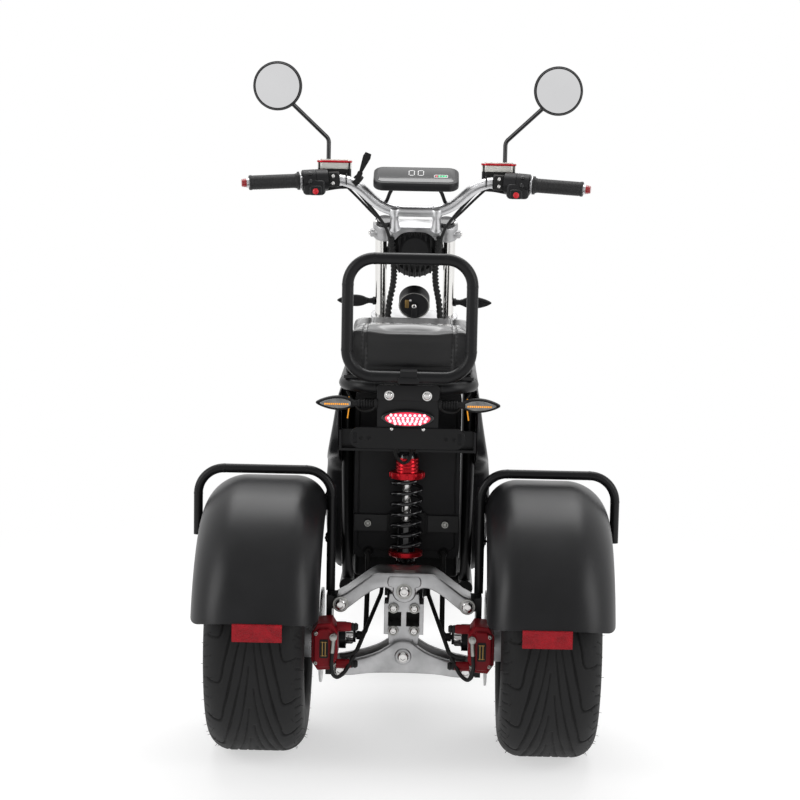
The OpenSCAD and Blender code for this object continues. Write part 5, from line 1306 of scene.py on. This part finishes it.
for x, y, z, r in ((96, -6, 560, 5.0), (104, PINCH_Y, PINCH_Z, 5.4)):
    for sign in SIDES:
        pinch.bolt(fork(sign * x, y, z), (sign, 0, 0), r, 4)
stand_in("crown_casting", crown, "top_crown", cast, 40)
piece("fork_caps", caps, "fork_tubes", gloss)
piece("crown_bolts", pinch, "top_crown", steel)

# Headlamp: ribs over the shell's back, chrome ring, lens and reflector
LAMP = STEER + (0, 47.4, -66)
LAMP_R, LAMP_TAIL = 65.5, 46
ribs, bezel, front, bulb = shapes(4)
for x in range(-36, 37, 12):
    reach = 0.98 * math.sqrt(LAMP_R ** 2 - x * x)
    tail = 20 * (x / LAMP_R) ** 2 - LAMP_TAIL
    turns = np.linspace(-1.25, 1.25, 25)
    ribs.tube([LAMP + (x, tail * math.cos(a) ** 0.5 + 2, reach * math.sin(a)) for a in turns], 2.4, 8)
bezel.lathe([(70, 60), (70, 65.8), (76, 67.2), (84, 66), (87, 62), (86, 58)], LAMP, Y, 64)
front.lathe([(78, 60.5), (82, 60), (86, 52), (89, 36), (91, 18), (91.6, 0)], LAMP, Y, 64)
bulb.lathe([(79, 59), (73, 44), (69, 24), (68, 0)], LAMP, Y, 48)
piece("headlamp_ribs", ribs, "headlamp", matte)
piece("headlamp_bezel", bezel, "headlamp", chrome, 38, False)
piece("headlamp_lens", front, "headlamp", head_glass, 38, False)
piece("headlamp_reflector", bulb, "headlamp", satin, 38, False)

# Horn
HORN_Z = 640
HORN_BACK = -FORK_AHEAD
horn, rim, screws, plate = shapes(4)
horn.lathe([(38, 36.2), (42, 36.4), (43, 34), (42, 31), (40.5, 30), (40.5, 10)], fork(0, 0, HORN_Z),
           HORN_BACK, 48)
horn.slab(round_box(14, 44, 5, 4), 3, fork(0, -41.5, 622), X, FORK_UP, 0.8)
rim.lathe([(40, 35.2), (42.9, 35.4), (43.4, 34.6), (42.6, 33.6), (40, 33.6)], fork(0, 0, HORN_Z),
          HORN_BACK, 48)
screws.bolt(fork(0, -42.5, HORN_Z), HORN_BACK, 6.2, 5)
screws.bolt(fork(-9, -40.6, 654), HORN_BACK, 3, 2.5)
plate.slab(round_box(9, 22, 2.5, 3), 1.6, fork(-17, -40.6, 644), X, FORK_UP, 0.5)
piece("horn_case", horn, "horn", moulded)
piece("horn_rim", rim, "horn", dull_steel)
piece("horn_screws", screws, "horn", steel)
piece("horn_plate", plate, "horn", brass)

# Footboard mat
MAT_Y = 697
mat = Shape().tile(round_box(286, 302, 14), 2.2, (0, MAT_Y, 291.6), 0.8)
for i in range(19):
    mat.tile(round_box(7, 286, 3, 4), 2.0, (-130.5 + 14.5 * i, MAT_Y, 293.4), 0.8)
piece("footboard_mat", mat, "footboard", rubber)

# Bolts on both faces of the rear wheels, and the front axle's nuts
HUB_RING, HUB_FACE_X = 32, 337.2
COVER_RING, COVER_FACE_X = 68, 200.2
AXLE_END_X = 104.4
for slot, sign in (("rear_rim_left", -1), ("rear_rim_right", 1)):
    studs = Shape()
    for a in TURN * np.arange(6) / 6:
        place = (sign * HUB_FACE_X, HUB_RING * math.sin(a), REAR_R + HUB_RING * math.cos(a))
        studs.bolt(place, (sign, 0, 0), 5.2, 4)
    for a in TURN * (np.arange(12) + 0.5) / 12:
        place = (sign * COVER_FACE_X, COVER_RING * math.sin(a), REAR_R + COVER_RING * math.cos(a))
        studs.bolt(place, (-sign, 0, 0), 4.0, 3)
    piece(slot + "_bolts", studs, slot, steel)
axle = Shape()
for sign in SIDES:
    axle.nut((sign * AXLE_END_X, WHEELBASE, FRONT_R), (sign, 0, 0), 13, 9)
piece("front_axle_nuts", axle, "front_axle", dull_steel)


# Floor and light

# White room: plain white for what is seen directly, a little darker behind the camera for what is mirrored
ROOM_DARK, ROOM_LIGHT = 0.5, 1.0
DIFFUSE_SHARE = 0.62
studio = bpy.data.worlds.new("studio")
scene.world = studio
studio.use_nodes = True
room = Nodes(studio.node_tree)
rays = room.add("LightPath", {}).outputs
way = room.add("SeparateXYZ", {0: room.add("TexCoord", {}).outputs["Generated"]}).outputs
ahead = room.math("SUBTRACT", way["Y"], room.math("MULTIPLY", way["Z"], 0.3))
wall = room.span(ahead, ROOM_DARK, ROOM_LIGHT, -0.95, 0.3, "SMOOTHSTEP")
seen = room.math("MAXIMUM", rays["Is Camera Ray"], rays["Is Transmission Ray"])
glossy = room.math("MULTIPLY", rays["Is Glossy Ray"], 1 - DIFFUSE_SHARE)
share = room.math("ADD", DIFFUSE_SHARE, glossy)
strength = room.math("MAXIMUM", seen, room.math("MULTIPLY", wall, share))
room.fill(studio.node_tree.nodes["Background"], {"Color": (1, 1, 1, 1), "Strength": strength})

# Floor: it takes the object's shadow, and fades to white away from it
FLOOR = 30.0
FADE_START, FADE_END = 0.75, 1.8
FLOOR_GREY, FLOOR_GLOW = 0.55, 0.57
floor_material = bpy.data.materials.new("studio_floor")
floor_material.use_nodes = True
ground = Nodes(floor_material.node_tree)
ground.tree.nodes.remove(ground.tree.nodes["Principled BSDF"])
grey = ground.add("BsdfDiffuse", {"Color": (FLOOR_GREY, FLOOR_GREY, FLOOR_GREY, 1)}).outputs[0]
lit = ground.add("Emission", {"Strength": FLOOR_GLOW}).outputs[0]
near = ground.add("AddShader", {0: grey, 1: lit}).outputs[0]
far = ground.add("Emission", {"Strength": 1.0}).outputs[0]
place = ground.add("TexCoord", {}).outputs["Object"]
reach = ground.add("VectorMath", {0: place}, operation="LENGTH").outputs["Value"]
fade = ground.span(reach, 0.0, 1.0, FADE_START, FADE_END, "SMOOTHSTEP")
both = ground.add("MixShader", {0: fade, 1: near, 2: far}).outputs[0]
ground.fill(ground.tree.nodes["Material Output"], {"Surface": both})

floor_mesh = bpy.data.meshes.new("floor")
corners = [(x * FLOOR, y * FLOOR, 0) for x, y in ((-1, -1), (1, -1), (1, 1), (-1, 1))]
floor_mesh.from_pydata(corners, [], [(0, 1, 2, 3)])
floor_mesh.materials.append(floor_material)
floor = bpy.data.objects.new("floor", floor_mesh)
scene.collection.objects.link(floor)


def soft_box(name, place, aim, size, power):
    data = bpy.data.lights.new(name, "AREA")
    data.shape = "RECTANGLE"
    data.size, data.size_y = size
    data.energy = power
    lamp = bpy.data.objects.new(name, data)
    lamp.location = place
    lamp.rotation_euler = (Vector(aim) - Vector(place)).to_track_quat("-Z", "Y").to_euler()
    scene.collection.objects.link(lamp)


soft_box("top_box", (0, 0.6, 2.8), (0, -0.3, 0.3), (2.6, 1.5), 42)
soft_box("left_box", (-2.4, -1.8, 1.7), (0, -0.5, 0.5), (1.2, 2.0), 26)
soft_box("mirror_box", (0, -8.6, 1.36), (0, 0, 1.34), (2.8, 0.6), 1.35)
soft_box("right_box", (2.4, -1.8, 1.7), (0, -0.5, 0.5), (1.2, 2.0), 26)
